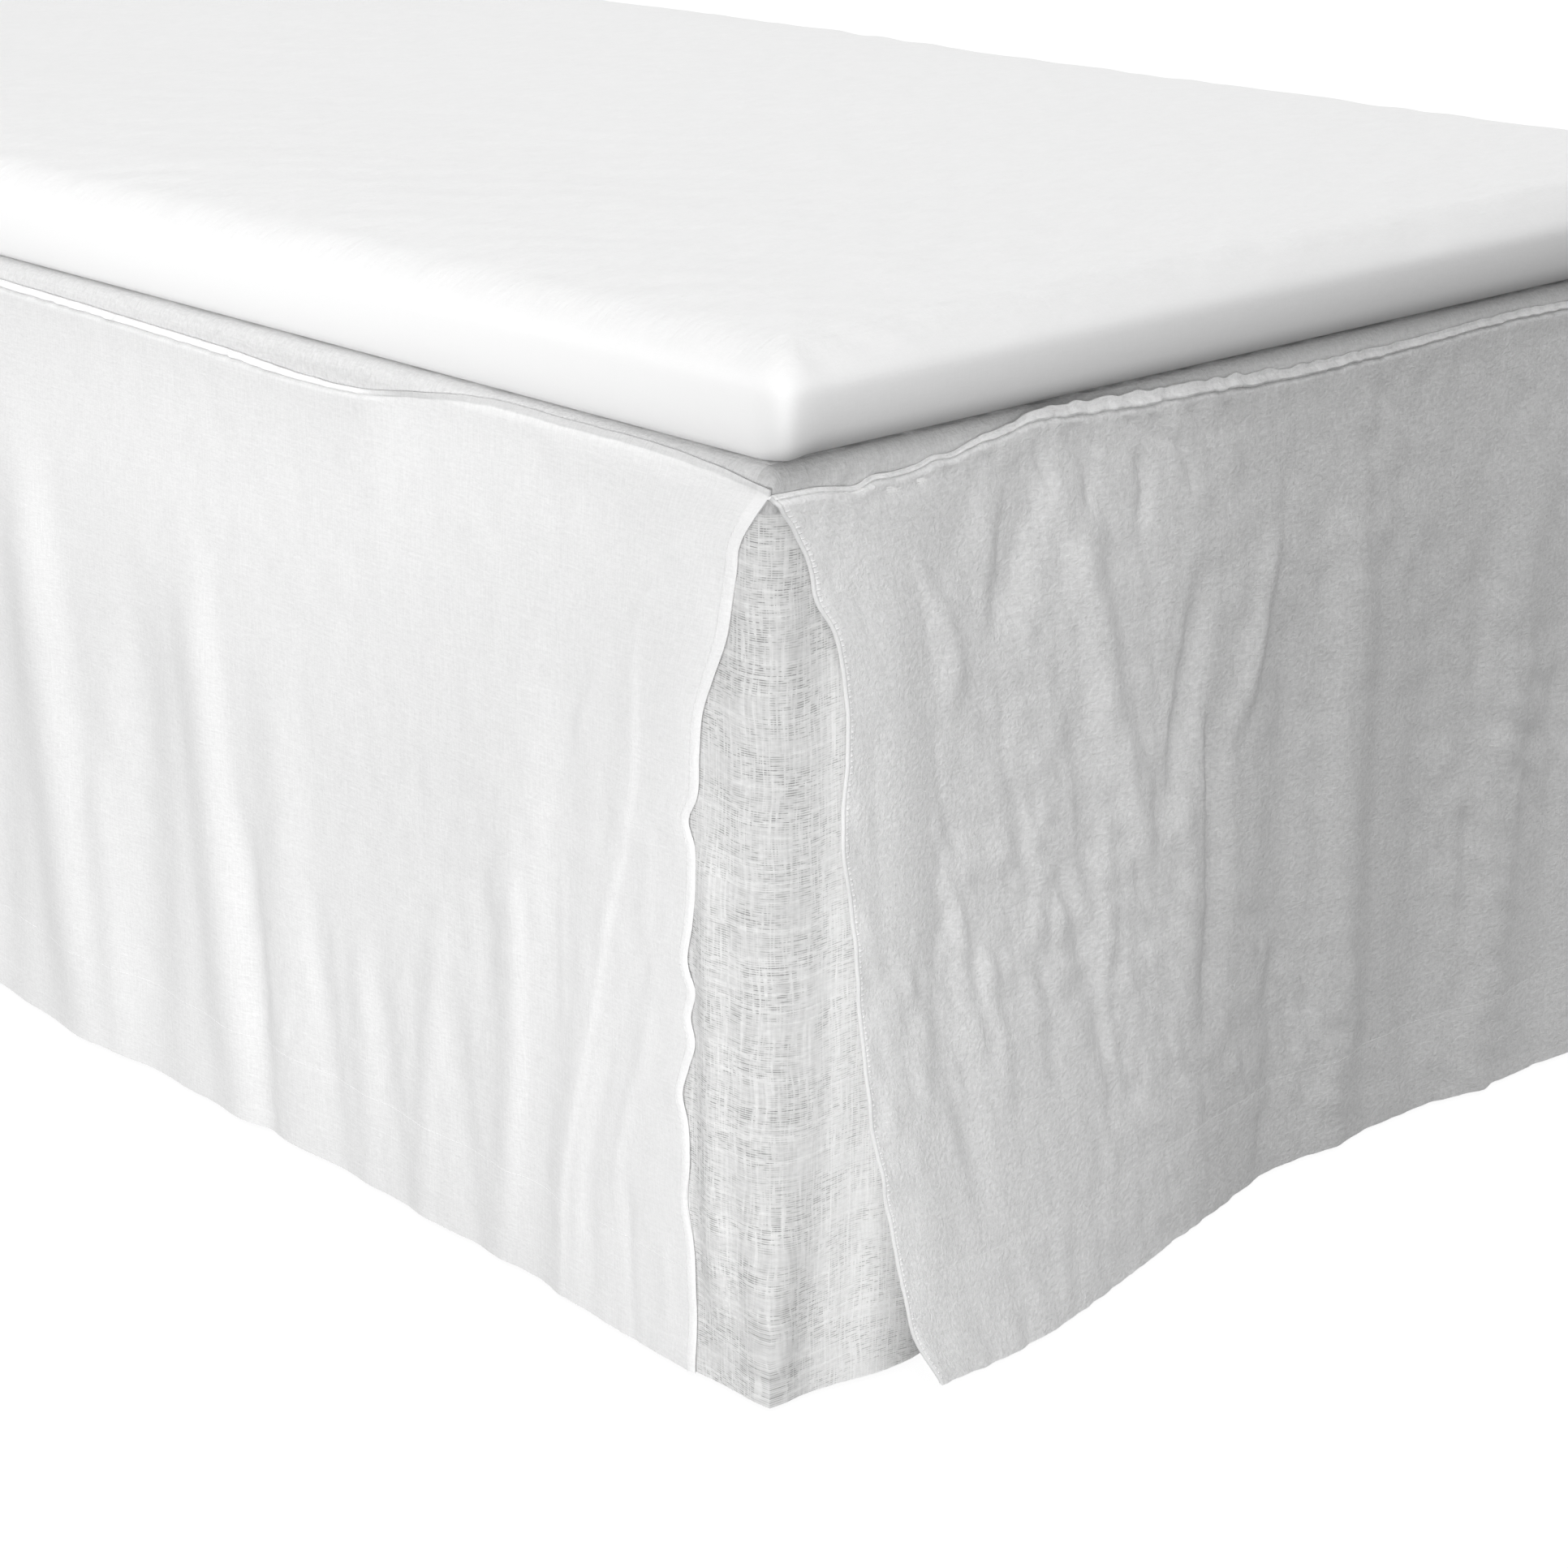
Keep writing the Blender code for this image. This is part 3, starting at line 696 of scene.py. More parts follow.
gusset_t = spaced((Span(-GUSSET_LEG, -0.070, 0.009), Span(-0.070, 0.070, 0.0017),
                   Span(0.070, GUSSET_LEG, 0.009)))
gusset_z = spaced((Span(HEM_HEIGHT, GUSSET_TOP, 0.0030),))
place, height = np.meshgrid(gusset_t, gusset_z)
radius = by_height(GUSSET_CORNER, height)
arc = radius * math.pi / 2
turn = np.clip((place + arc / 2) / radius, 0, math.pi / 2)
in_x = radius * (1 - np.cos(turn)) + np.maximum(place - arc / 2, 0)
in_y = radius * (1 - np.sin(turn)) + np.maximum(-place - arc / 2, 0)
power = 2.0 + 6.0 * ease(1 - height / 0.12)
squared = (np.cos(turn) ** power + np.sin(turn) ** power) ** (-1 / power)
stand = gusset_stand(place, height) * squared
# Lighter at its hem and its top, where it is double
hemmed = ease(1 - (height - HEM_HEIGHT - GUSSET_HEM) / 0.003)
hemmed = np.maximum(hemmed, 0.6 * ease((height - 0.504) / 0.003))
# Lighter towards the foot, and a little on the left: partly the base's cover close behind, partly
# painted light
backed_and_painted_light = 0.15 + 0.82 * ease((place - 0.004) / 0.036) + 0.10 * ease((-0.010 - place) / 0.030)
# Painted shade along the corner, and darker in a band high up
backed_and_painted_light = backed_and_painted_light - 0.30 * rounded(place, 0.016) - 0.25 * rounded(height - 0.435, 0.050)
tone_and_painted_light = np.maximum(hemmed * 0.3, backed_and_painted_light + 0.10 * ripple(place * 30, height * 9, 19.0))
sag = height + 0.0022 * np.sin((place + 0.02) * 60)
for side, name in ((-1, "gusset_left"), (1, "gusset_right")):
    corner_x = base_low.x if side < 0 else base_high.x
    points = np.stack([
        corner_x - side * in_x + side * stand * np.cos(turn),
        base_low.y + in_y - stand * np.sin(turn),
        height,
    ], axis=-1)
    gusset = lay_cloth(points, place, sag, tone_and_painted_light, 1.0,
                       lambda middle: (middle - base_middle) * Vector((1, 1, 0)), CLOTH)
    settle(gusset, name + "_cloth", gauze)
    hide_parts(name)

# ---- The drops ----
# Three panels of washed linen sewn to the deck's turned edge. The seam stands out as a narrow
# roll over a sharp groove; below it each panel hangs free in soft folds and creases to the floor.
GROOVE_OUT = 0.0054
FLAT_SEAM = 0.0026
BELOW_GROOVE = 0.0024
HANG_DROP = 0.120
ROLL_TOP = 0.0044
ROLL_OUT = 0.0042
ROLL_LEAST = 0.65
ROLL_GATHERS = Wrinkle(120, 9, 0.26, 107.0)
GROOVE_CRINKLE = Wrinkle(75, 9, 0.0010, 101.0)
NOTCH = 0.0012
FLARE_POWER = 2.6
# The small wrinkles lean and stray across the height of a drop
LEAN = 0.38
STRAYING = (Wrinkle(12, 7, 0.007, 31.0), Wrinkle(50, 30, 0.003, 35.0))
BROAD_WRINKLES = (Wrinkle(18, 4.5, 1.0, 41.0),)
BROAD_DEPTH = 0.0030
EVEN_WRINKLES = (Wrinkle(50, 13, 0.0014, 53.0),)
PATCHY_WRINKLES = (Wrinkle(80, 40, 0.0030, 57.0), Wrinkle(120, 60, 0.0012, 61.0))
PUCKERS = (Wrinkle(170, 16, 0.0007, 71.0),)
PUCKER_TUCKS = Wrinkle(125, 31, 0.70, 83.0)
HEM_BAND = 0.066
EDGE_HEM = 0.0085
CORDED_HEM = 0.0030
EDGE_STRIP = 0.012
# How much of a drop the photo shows, where its columns are closer
NEAR_CAMERA = 0.42
EDGE_PULL = 0.170
EDGE_TUCK = 0.0011
EDGE_TURN = 0.0055
EDGE_HUG = 0.034
HUG_GAP = 0.0021
LEAST_GAP = 0.0013
PAST_GUSSET = 0.022
Place = namedtuple("Place", "place value")
Crease = namedtuple("Crease", "path before after depth")
# Painted shade along a drop: amount, start, rise, end, fall and the top it reaches
Grey = namedtuple("Grey", "amount start rise end fall top")
Drop = namedtuple("Drop", "name corner along out length hang groove roll hem near_edge far_edge "
                          "creases columns rows crumple edge_hem grey flat")

# The height of the groove under the seam's roll, at places along each side
LEFT_GROOVE = table_of(
    Place, (0.000, 0.5200), (0.030, 0.5235), (0.070, 0.5258), (0.150, 0.5262), (0.240, 0.5250),
    (0.290, 0.5195), (0.333, 0.5135), (0.390, 0.5110), (0.480, 0.5130), (0.900, 0.5170),
    (1.400, 0.5140), (2.000, 0.5160),
)
FOOT_GROOVE = table_of(
    Place, (0.000, 0.5165), (0.025, 0.5160), (0.045, 0.5130), (0.058, 0.5120), (0.066, 0.5142),
    (0.085, 0.5142), (0.099, 0.5150), (0.110, 0.5172), (0.124, 0.5174), (0.140, 0.5200),
    (0.164, 0.5230), (0.196, 0.5262), (0.213, 0.5245), (0.235, 0.5230), (0.268, 0.5210),
    (0.302, 0.5200), (0.337, 0.5190), (0.371, 0.5170), (0.480, 0.5160), (0.620, 0.5190),
    (0.760, 0.5160), (0.900, 0.5185),
)
RIGHT_GROOVE = table_of(
    Place, (0.000, 0.5185), (0.600, 0.5160), (1.300, 0.5185), (2.000, 0.5160),
)
# How thick the seam's roll is, as a share of its usual size
EVEN_ROLL = table_of(
    Place, (0.000, 0.9), (2.000, 1.0),
)
LEFT_ROLL = table_of(
    Place, (0.000, 0.16), (0.150, 0.10), (0.280, 0.12), (0.330, 0.40), (0.390, 0.80),
    (0.600, 1.00), (2.000, 1.00),
)
FOOT_ROLL = table_of(
    Place, (0.000, 0.50), (0.060, 0.62), (0.130, 0.66), (0.165, 1.05), (0.210, 1.60),
    (0.340, 1.70), (0.500, 1.30), (0.900, 1.00),
)
# How far the hem stands out from the base
LEFT_HEM = table_of(
    Place, (0.000, 0.0132), (0.080, 0.0137), (0.153, 0.0115), (0.200, 0.0082), (0.250, 0.0074),
    (0.297, 0.0088), (0.350, 0.0070), (0.420, 0.0076), (0.700, 0.0160), (1.000, 0.0100),
    (1.400, 0.0180), (2.000, 0.0130),
)
FOOT_HEM = table_of(
    Place, (0.000, 0.0500), (0.080, 0.0562), (0.135, 0.0590), (0.180, 0.0549), (0.231, 0.0460),
    (0.290, 0.0336), (0.346, 0.0228), (0.402, 0.0120), (0.480, 0.0110), (0.580, 0.0190),
    (0.720, 0.0330), (0.800, 0.0340), (0.900, 0.0280),
)
RIGHT_HEM = table_of(
    Place, (0.000, 0.0240), (0.300, 0.0160), (0.800, 0.0120), (1.300, 0.0190), (2.000, 0.0140),
)
# A free edge at a split: how far it lies from the corner of the base at each height
HEMMED_EDGE = table_of(
    Height, (0.5200, -0.0066), (0.5140, -0.0019), (0.5050, 0.0052), (0.4950, 0.0124),
    (0.4870, 0.0160), (0.4790, 0.0169), (0.4590, 0.0207), (0.4390, 0.0245), (0.4170, 0.0336),
    (0.3950, 0.0420), (0.3720, 0.0448), (0.3450, 0.0471), (0.3320, 0.0530), (0.3190, 0.0480),
    (0.2970, 0.0474), (0.2740, 0.0498), (0.2470, 0.0530), (0.2360, 0.0482), (0.2180, 0.0518),
    (0.2050, 0.0484), (0.1880, 0.0534), (0.1720, 0.0577), (0.1550, 0.0539), (0.1330, 0.0522),
    (0.1070, 0.0547), (0.0850, 0.0502), (0.0620, 0.0478), (0.0300, 0.0475), (0.0050, 0.0482),
)
CORDED_EDGE = table_of(
    Height, (0.5200, -0.0066), (0.5160, -0.0018), (0.5090, 0.0034), (0.5020, 0.0090),
    (0.4940, 0.0134), (0.4860, 0.0178), (0.4760, 0.0215), (0.4580, 0.0258), (0.4440, 0.0340),
    (0.4280, 0.0389), (0.4100, 0.0417), (0.3880, 0.0427), (0.3660, 0.0418), (0.3440, 0.0391),
    (0.3250, 0.0362), (0.3080, 0.0380), (0.2940, 0.0410), (0.2700, 0.0433), (0.2370, 0.0450),
    (0.2040, 0.0472), (0.1660, 0.0490), (0.1370, 0.0530), (0.1070, 0.0574), (0.0690, 0.0609),
    (0.0340, 0.0656), (0.0050, 0.0790),
)


def creased(*rows):
    """Creases from rows of a path, a reach before it, a reach after it and a depth, in mm.

    A crease runs down its path of (place, height). It stands out by its depth, or in where that
    is negative, and dies away over its two reaches.
    """
    return tuple(Crease(np.array(path) / 1000, before / 1000, after / 1000, depth / 1000)
                 for path, before, after, depth in rows)


LEFT_CREASES = creased(
    (((87, 485), (93, 430), (98, 342), (107, 298), (121, 252), (135, 194), (149, 142), (162, 96),
     (170, 5)), 6, 22, 1.4),
    (((44, 496), (70, 470), (85, 448), (96, 425)), 6, 7, 1),
    (((108, 420), (130, 388), (140, 368), (144, 340)), 7, 7, 0.8),
    (((83, 325), (86, 265)), 7, 7, 0.5),
    (((150, 430), (160, 289), (168, 235), (176, 170), (186, 100), (194, 5)), 30, 34, -2.6),
    (((203, 330), (206, 205), (208, 148), (216, 88), (230, 5)), 14, 24, 2.4),
    (((236, 265), (234, 211), (232, 155)), 18, 20, -1),
    (((268, 180), (262, 103), (260, 64), (257, 5)), 18, 20, -1.5),
    (((271, 250), (278, 190), (285, 149), (292, 110), (304, 5)), 15, 18, 1.7),
    (((342, 175), (335, 101), (331, 63), (325, 5)), 18, 20, -1.5),
    (((353, 200), (359, 137), (360, 97), (362, 5)), 18, 19, 1.7),
    (((304, 185), (308, 110)), 8, 8, -0.6),
    (((98, 225), (111, 191), (125, 157), (139, 104), (141, 5)), 16, 13, -1.4),
    (((79, 240), (85, 206), (100, 160), (113, 117), (120, 70)), 8, 9, 1),
    (((105, 110), (104, 57), (101, 5)), 7, 7, -1),
    (((73, 85), (71, 12)), 9, 9, 0.6),
    (((405, 210), (398, 100), (392, 5)), 19, 19, -1.9),
    (((430, 360), (436, 200), (440, 5)), 36, 33, 2.9),
    (((478, 250), (472, 120), (470, 5)), 18, 20, -2.9),
    (((520, 420), (510, 220), (500, 5)), 29, 37, 5.3),
    (((585, 380), (592, 180), (600, 5)), 44, 44, -4.8),
    (((650, 240), (645, 100), (640, 5)), 24, 24, 2.9),
    (((720, 460), (700, 240), (680, 5)), 40, 51, 7.7),
    (((770, 330), (785, 160), (800, 5)), 51, 51, -5.4),
    (((900, 400), (910, 200), (920, 5)), 55, 55, 7.8),
    (((1080, 460), (1065, 230), (1050, 5)), 66, 55, 10.2),
    (((1160, 300), (1175, 150), (1190, 5)), 55, 61, -6),
    (((1330, 430), (1315, 210), (1300, 5)), 66, 66, 9),
    (((1520, 470), (1540, 230), (1560, 5)), 77, 77, 10.2),
    (((1690, 330), (1675, 160), (1660, 5)), 66, 66, -6),
    (((1800, 420), (1810, 210), (1820, 5)), 66, 66, 9),
)
FOOT_CREASES = creased(
    (((180, 517), (179, 500), (174, 483), (168, 463), (156, 405)), 20, 30, -6.2),
    (((178, 517), (177, 500), (172, 483), (167, 466), (160, 430)), 3, 3, -1.3),
    (((184, 519), (191, 502), (197, 490), (195, 478)), 5, 5, -2.3),
    (((205, 522), (220, 504), (228, 491), (227, 465)), 6, 8, -3),
    (((266, 500), (274, 478), (271, 450)), 6, 9, -3),
    (((303, 505), (311, 484), (319, 460)), 6, 6, -1.9),
    (((84, 500), (98, 462), (112, 435), (120, 410), (121, 370)), 16, 11, 2.9),
    (((187, 520), (200, 496), (216, 465), (229, 420), (248, 350), (268, 290), (285, 220)),
     22, 22, 7),
    (((388, 440), (380, 384), (372, 346), (362, 300)), 16, 10, 4.6),
    (((322, 440), (320, 399), (315, 366), (306, 322), (302, 260)), 12, 20, -5),
    (((334, 335), (336, 310), (340, 265)), 4, 7, -3.2),
    (((335, 350), (341, 270), (342, 200), (340, 110)), 10, 22, -4.9),
    (((312, 305), (321, 240), (323, 170), (327, 110)), 24, 14, 2.1),
    (((152, 400), (157, 369), (160, 340), (172, 304), (183, 260)), 5, 9, -1.4),
    (((88, 395), (108, 336), (122, 280)), 11, 13, -1.9),
    (((212, 380), (226, 307), (230, 235)), 17, 16, -3.2),
    (((92, 325), (105, 250), (110, 190), (122, 130), (126, 60)), 16, 18, -2.9),
    (((205, 280), (222, 215), (236, 160), (258, 90)), 17, 18, -3.1),
    (((231, 250), (260, 196), (277, 145)), 8, 10, 1.4),
    (((236, 205), (258, 140), (265, 85)), 7, 8, -1.4),
    (((180, 240), (192, 182), (193, 130)), 10, 10, -1.5),
    (((42, 365), (52, 307), (59, 245)), 14, 16, 1.5),
    (((137, 262), (142, 222), (150, 179), (152, 135)), 10, 11, 1.9),
    (((74, 513), (93, 483)), 4, 7, -3.2),
    (((97, 513), (117, 490)), 4, 7, -3.2),
    (((118, 515), (135, 493)), 4, 7, -3.2),
    (((147, 518), (165, 496)), 4, 7, -3.2),
    (((212, 523), (239, 499)), 4, 7, -4.6),
    (((257, 519), (293, 494)), 4, 7, -4.6),
    (((277, 518), (311, 487)), 4, 7, -4.6),
    (((201, 521), (256, 474)), 5, 7, -1.4),
    (((310, 517), (335, 490)), 4, 7, -3.2),
    (((340, 515), (362, 488)), 4, 7, -3.2),
    (((400, 430), (410, 220), (420, 5)), 28, 26, -3),
    (((462, 500), (470, 250), (480, 5)), 36, 34, 7.4),
    (((540, 400), (550, 200), (560, 5)), 34, 34, -3.3),
    (((590, 300), (585, 150), (580, 60)), 14, 16, 1),
    (((640, 480), (630, 240), (620, 5)), 40, 40, 7.4),
    (((690, 390), (685, 200), (680, 5)), 26, 30, -3),
    (((745, 430), (752, 260), (750, 80)), 21, 23, 1.7),
    (((800, 350), (806, 220), (800, 60)), 16, 18, -1.4),
)
RIGHT_CREASES = creased(
    (((90, 460), (125, 230), (160, 5)), 42, 48, 5.5),
    (((200, 300), (214, 150), (220, 5)), 30, 30, -3),
    (((270, 360), (285, 180), (300, 5)), 50, 55, 6.5),
    (((380, 330), (390, 160), (400, 5)), 50, 50, -4.5),
    (((560, 440), (545, 220), (530, 5)), 60, 55, 7.5),
    (((660, 300), (650, 150), (645, 5)), 35, 35, -3.5),
    (((760, 400), (775, 200), (790, 5)), 60, 65, 7.5),
    (((910, 330), (905, 160), (900, 5)), 60, 60, -4.5),
    (((1060, 460), (1045, 230), (1030, 5)), 65, 60, 8.5),
    (((1180, 300), (1175, 150), (1170, 5)), 45, 45, -3),
    (((1290, 400), (1305, 200), (1320, 5)), 65, 70, 7.5),
    (((1460, 330), (1450, 160), (1440, 5)), 65, 65, -5),
    (((1620, 430), (1610, 210), (1600, 5)), 70, 65, 8.5),
    (((1840, 380), (1850, 190), (1860, 5)), 70, 65, 6.5),
)


def by_place(table, place):
    """A value that changes smoothly along a side, from a table."""
    places = np.array([row.place for row in table])
    values = np.array([row.value for row in table])
    return flowing(places, values, place)


def crested(share):
    """A soft crest, 1 on its line and 0 at a share of 1, steeper near its line than a bump."""
    return np.clip(1 - np.sqrt(share ** 2 + 0.02), 0, 1) ** 1.7 * 1.3


def crease_depth(crease, place, height):
    """How far a crease moves the cloth at each place and height."""
    places, heights = crease.path[::-1].T
    line = flowing(heights, places, height)
    away = place - line
    reach = np.where(away < 0, crease.before, crease.after)
    sharp = crested(np.abs(away) / (1.35 * reach))
    broad = min(max((crease.before + crease.after) / 0.024 - 0.4, 0.0), 1.0)
    shape = sharp + (rounded(away, reach) - sharp) * broad
    top, end = heights[-1], heights[0]
    fade = 0.30 * (top - end)
    strength = ease((top - height) / fade) * (0.6 + 0.4 * ease(height / 0.09))
    if end > 2 * HEM_HEIGHT:
        strength = strength * ease((height - end) / fade)
    return crease.depth * strength * shape


def groove_at(drop, place):
    """The height of the groove under the seam's roll, a little crinkled."""
    return by_place(drop.groove, place) + drop.crumple * wrinkled((GROOVE_CRINKLE,), place, place)


def roll_at(drop, place):
    """The size of the seam's roll, gathered into small puckers."""
    gathers = drop.crumple * wrinkled((ROLL_GATHERS,), place, place)
    return by_place(drop.roll, place) * (1 + gathers)


def rolled_at(drop, place):
    """1 where the seam is rolled, 0 where it lies flat."""
    return ease((by_place(drop.roll, place) - 0.2) / 0.25)


def drop_surface(drop, column, height):
    """The middle of a drop's cloth at each column of its weave and each height."""
    near = by_height(drop.near_edge, height)
    pull = (1 - np.clip(column / EDGE_PULL, 0, 1)) ** 1.5
    place = column + near * pull
    beside = column
    if drop.far_edge:
        far = by_height(drop.far_edge, height)
        pull = (1 - np.clip((drop.length - column) / EDGE_PULL, 0, 1)) ** 1.5
        place = place - far * pull
        beside = np.minimum(column, drop.length - column)
    groove = groove_at(drop, place)
    below = groove - height
    fall = np.clip(below / groove, 0, 1)
    rolled = rolled_at(drop, place)
    deck_turned = np.maximum(DECK_TURN - (DECK_TOP - height), 0)
    deck_face = DECK_OUT - DECK_TURN + np.sqrt(np.maximum(DECK_TURN ** 2 - deck_turned ** 2, 0))
    start = deck_face + FLAT_SEAM
    start = start + (GROOVE_OUT - start) * rolled
    step = BELOW_GROOVE * rolled
    out = start + step * ease(below / 0.0025) - NOTCH * rolled * rounded(below, NOTCH)
    out = out + (drop.hang - start - step) * ease(below / HANG_DROP)
    out = out + (by_place(drop.hem, place) - drop.hang) * fall ** FLARE_POWER
    free = ease(below / 0.02)
    out = out + sum(crease_depth(crease, place, height) for crease in drop.creases)
    soft = drop.crumple * free * (0.80 + 0.20 * ease((height - HEM_BAND) / 0.02))
    strayed = place + LEAN * height + wrinkled(STRAYING, place, height)
    patchy = 0.65 + 0.9 * ripple(place * 9, height * 6, 37.0)
    broad = wrinkled(BROAD_WRINKLES, strayed, height)
    out = out - soft * BROAD_DEPTH * np.sqrt(broad ** 2 + 0.060)
    out = out + soft * wrinkled(EVEN_WRINKLES, strayed, height)
    out = out + soft * patchy * wrinkled(PATCHY_WRINKLES, strayed, height)
    under_seam = ease(below / 0.003) * ease(1 - below / 0.045)
    at_hem = ease(1 - np.abs(height - HEM_BAND - 0.008) / 0.014)
    puckers = drop.crumple * wrinkled(PUCKERS, place, height)
    out = out + puckers * (under_seam + 0.6 * at_hem)
    out = out - 0.0004 * rounded(height - HEM_BAND, 0.0035) * np.minimum(drop.crumple, 1)
    rolling = roll_at(drop, place)
    up = np.clip(-below / (ROLL_TOP * np.maximum(rolling, ROLL_LEAST)), 0, 1)
    tucks = 0.85 + wrinkled((PUCKER_TUCKS,), place, place)
    bulge = ROLL_OUT * np.minimum(rolling, np.sqrt(rolling)) * tucks
    out = out + bulge * np.sin(math.pi * up ** 0.8) ** 0.7
    out = out + (deck_face - 0.0004 - out) * ease(up)
    hemmed = ease(1 - (beside - drop.edge_hem) / 0.0012) * free
    curl = ripple(height * 38, height * 0 + 0.3, 97.0)
    out = out + 0.0016 * curl * free * np.exp(-beside / 0.016)
    from_corner = np.minimum(place, drop.length - place) if drop.far_edge else place
    beneath = gusset_stand(from_corner if drop.along[0] else -from_corner, height)
    hug = ease(1 - beside / EDGE_HUG) * (1 - fall ** 4) * free * (drop.edge_hem == EDGE_HEM)
    out = out + (beneath + HUG_GAP + 0.0004 * curl - out) * hug
    out = out + 0.0005 * hemmed - EDGE_TUCK * np.clip(1 - beside / EDGE_TURN, 0, 1) ** 2 * free
    over_gusset = ease((GUSSET_LEG + PAST_GUSSET - from_corner) / PAST_GUSSET)
    clear = GROOVE_OUT + (beneath + LEAST_GAP - GROOVE_OUT) * over_gusset
    out = np.maximum(out, start + (clear - start) * ease((below - 0.002) / 0.010))
    corner = Vector((drop.corner[0], drop.corner[1], 0))
    return np.stack([
        corner.x + drop.along[0] * place + drop.out[0] * out,
        corner.y + drop.along[1] * place + drop.out[1] * out,
        height,
    ], axis=-1)


def drop_rows(step):
    """Rows of a drop as (share of the roll above the groove, distance below it)."""
    above = [1.0, 0.88, 0.74, 0.58, 0.42, 0.26, 0.12, 0.0]
    below = [0.0006, 0.0013, 0.0022, 0.0034, 0.0050, 0.0070, 0.0095, 0.0125, 0.0155]
    count = round((0.512 - below[-1]) / step)
    return above, below, count


DROPS = (
    Drop(name="drop_left", corner=(base_low.x, base_low.y), along=(0, 1), out=(-1, 0),
         length=base_size.y, hang=0.0112, groove=LEFT_GROOVE, roll=LEFT_ROLL, hem=LEFT_HEM,
         near_edge=HEMMED_EDGE, far_edge=None, creases=LEFT_CREASES, rows=drop_rows(0.0034),
         columns=np.concatenate([spaced((Span(0.0, EDGE_STRIP, 0.0012),
                                         Span(EDGE_STRIP, 0.20, 0.0027),
                                         Span(0.20, NEAR_CAMERA, 0.0032))),
                                 widening(NEAR_CAMERA, base_size.y, 0.0035, 0.0200)]),
         crumple=0.22, edge_hem=EDGE_HEM, flat=(2.010, 0.530),
         grey=Grey(amount=1.6, start=0.12, rise=0.14, end=1.00, fall=0.40, top=0.46)),
    Drop(name="drop_foot", corner=(base_low.x, base_low.y), along=(1, 0), out=(0, -1),
         length=base_size.x, hang=0.0145, groove=FOOT_GROOVE, roll=FOOT_ROLL, hem=FOOT_HEM,
         near_edge=CORDED_EDGE, far_edge=HEMMED_EDGE, creases=FOOT_CREASES,
         rows=drop_rows(0.0033),
         columns=spaced((Span(0.0, EDGE_STRIP, 0.0012), Span(EDGE_STRIP, NEAR_CAMERA, 0.0027),
                         Span(NEAR_CAMERA, base_size.x - EDGE_STRIP, 0.0040),
                         Span(base_size.x - EDGE_STRIP, base_size.x, 0.0020))),
         crumple=0.85, edge_hem=CORDED_HEM, flat=(0.905, 0.530),
         grey=Grey(amount=2.2, start=0.27, rise=0.10, end=0.80, fall=0.30, top=1.00)),
    Drop(name="drop_right", corner=(base_high.x, base_low.y), along=(0, 1), out=(1, 0),
         length=base_size.y, hang=0.0145, groove=RIGHT_GROOVE, roll=EVEN_ROLL, hem=RIGHT_HEM,
         near_edge=CORDED_EDGE, far_edge=None, creases=RIGHT_CREASES, rows=drop_rows(0.0050),
         columns=np.concatenate([spaced((Span(0.0, EDGE_STRIP, 0.0020),
                                         Span(EDGE_STRIP, 0.20, 0.0050))),
                                 widening(0.20, base_size.y, 0.0060, 0.0180)]),
         crumple=0.45, edge_hem=CORDED_HEM, flat=(2.010, 0.530),
         grey=Grey(amount=0.0, start=0.00, rise=1.00, end=1.00, fall=1.00, top=1.00)),
)


def painted_shade_at(drop, column, height):
    """How much painted shade a stretch of a drop has, fading at its start, its end and its top."""
    grey = drop.grey
    along = ease((column - grey.start) / grey.rise) * ease((grey.end - column) / grey.fall)
    return grey.amount * along * ease((grey.top - height) / 0.20)


# How much lighter, or darker where negative, each hem looks, and the painted light and shade
EDGE_HEM_TONE = 1.0
HEM_TONE = 0.25
# Painted highlight on the seam's roll, varying along it
ROLL_PAINTED_HIGHLIGHT = 2.0
ROLL_HIGHLIGHT_VARIES = Wrinkle(130, 9, 2.2, 113.0)
# Painted shade in the groove under the roll
GROOVE_PAINTED_SHADE = -2.4
# Painted shade above a flat seam, and painted light below it
FLAT_SEAM_PAINTED_SHADE = -3.0
UNDER_SEAM_PAINTED_LIGHT = 1.1
# Painted light on a drop near the corner
NEAR_CORNER_PAINTED_LIGHT = 2.6

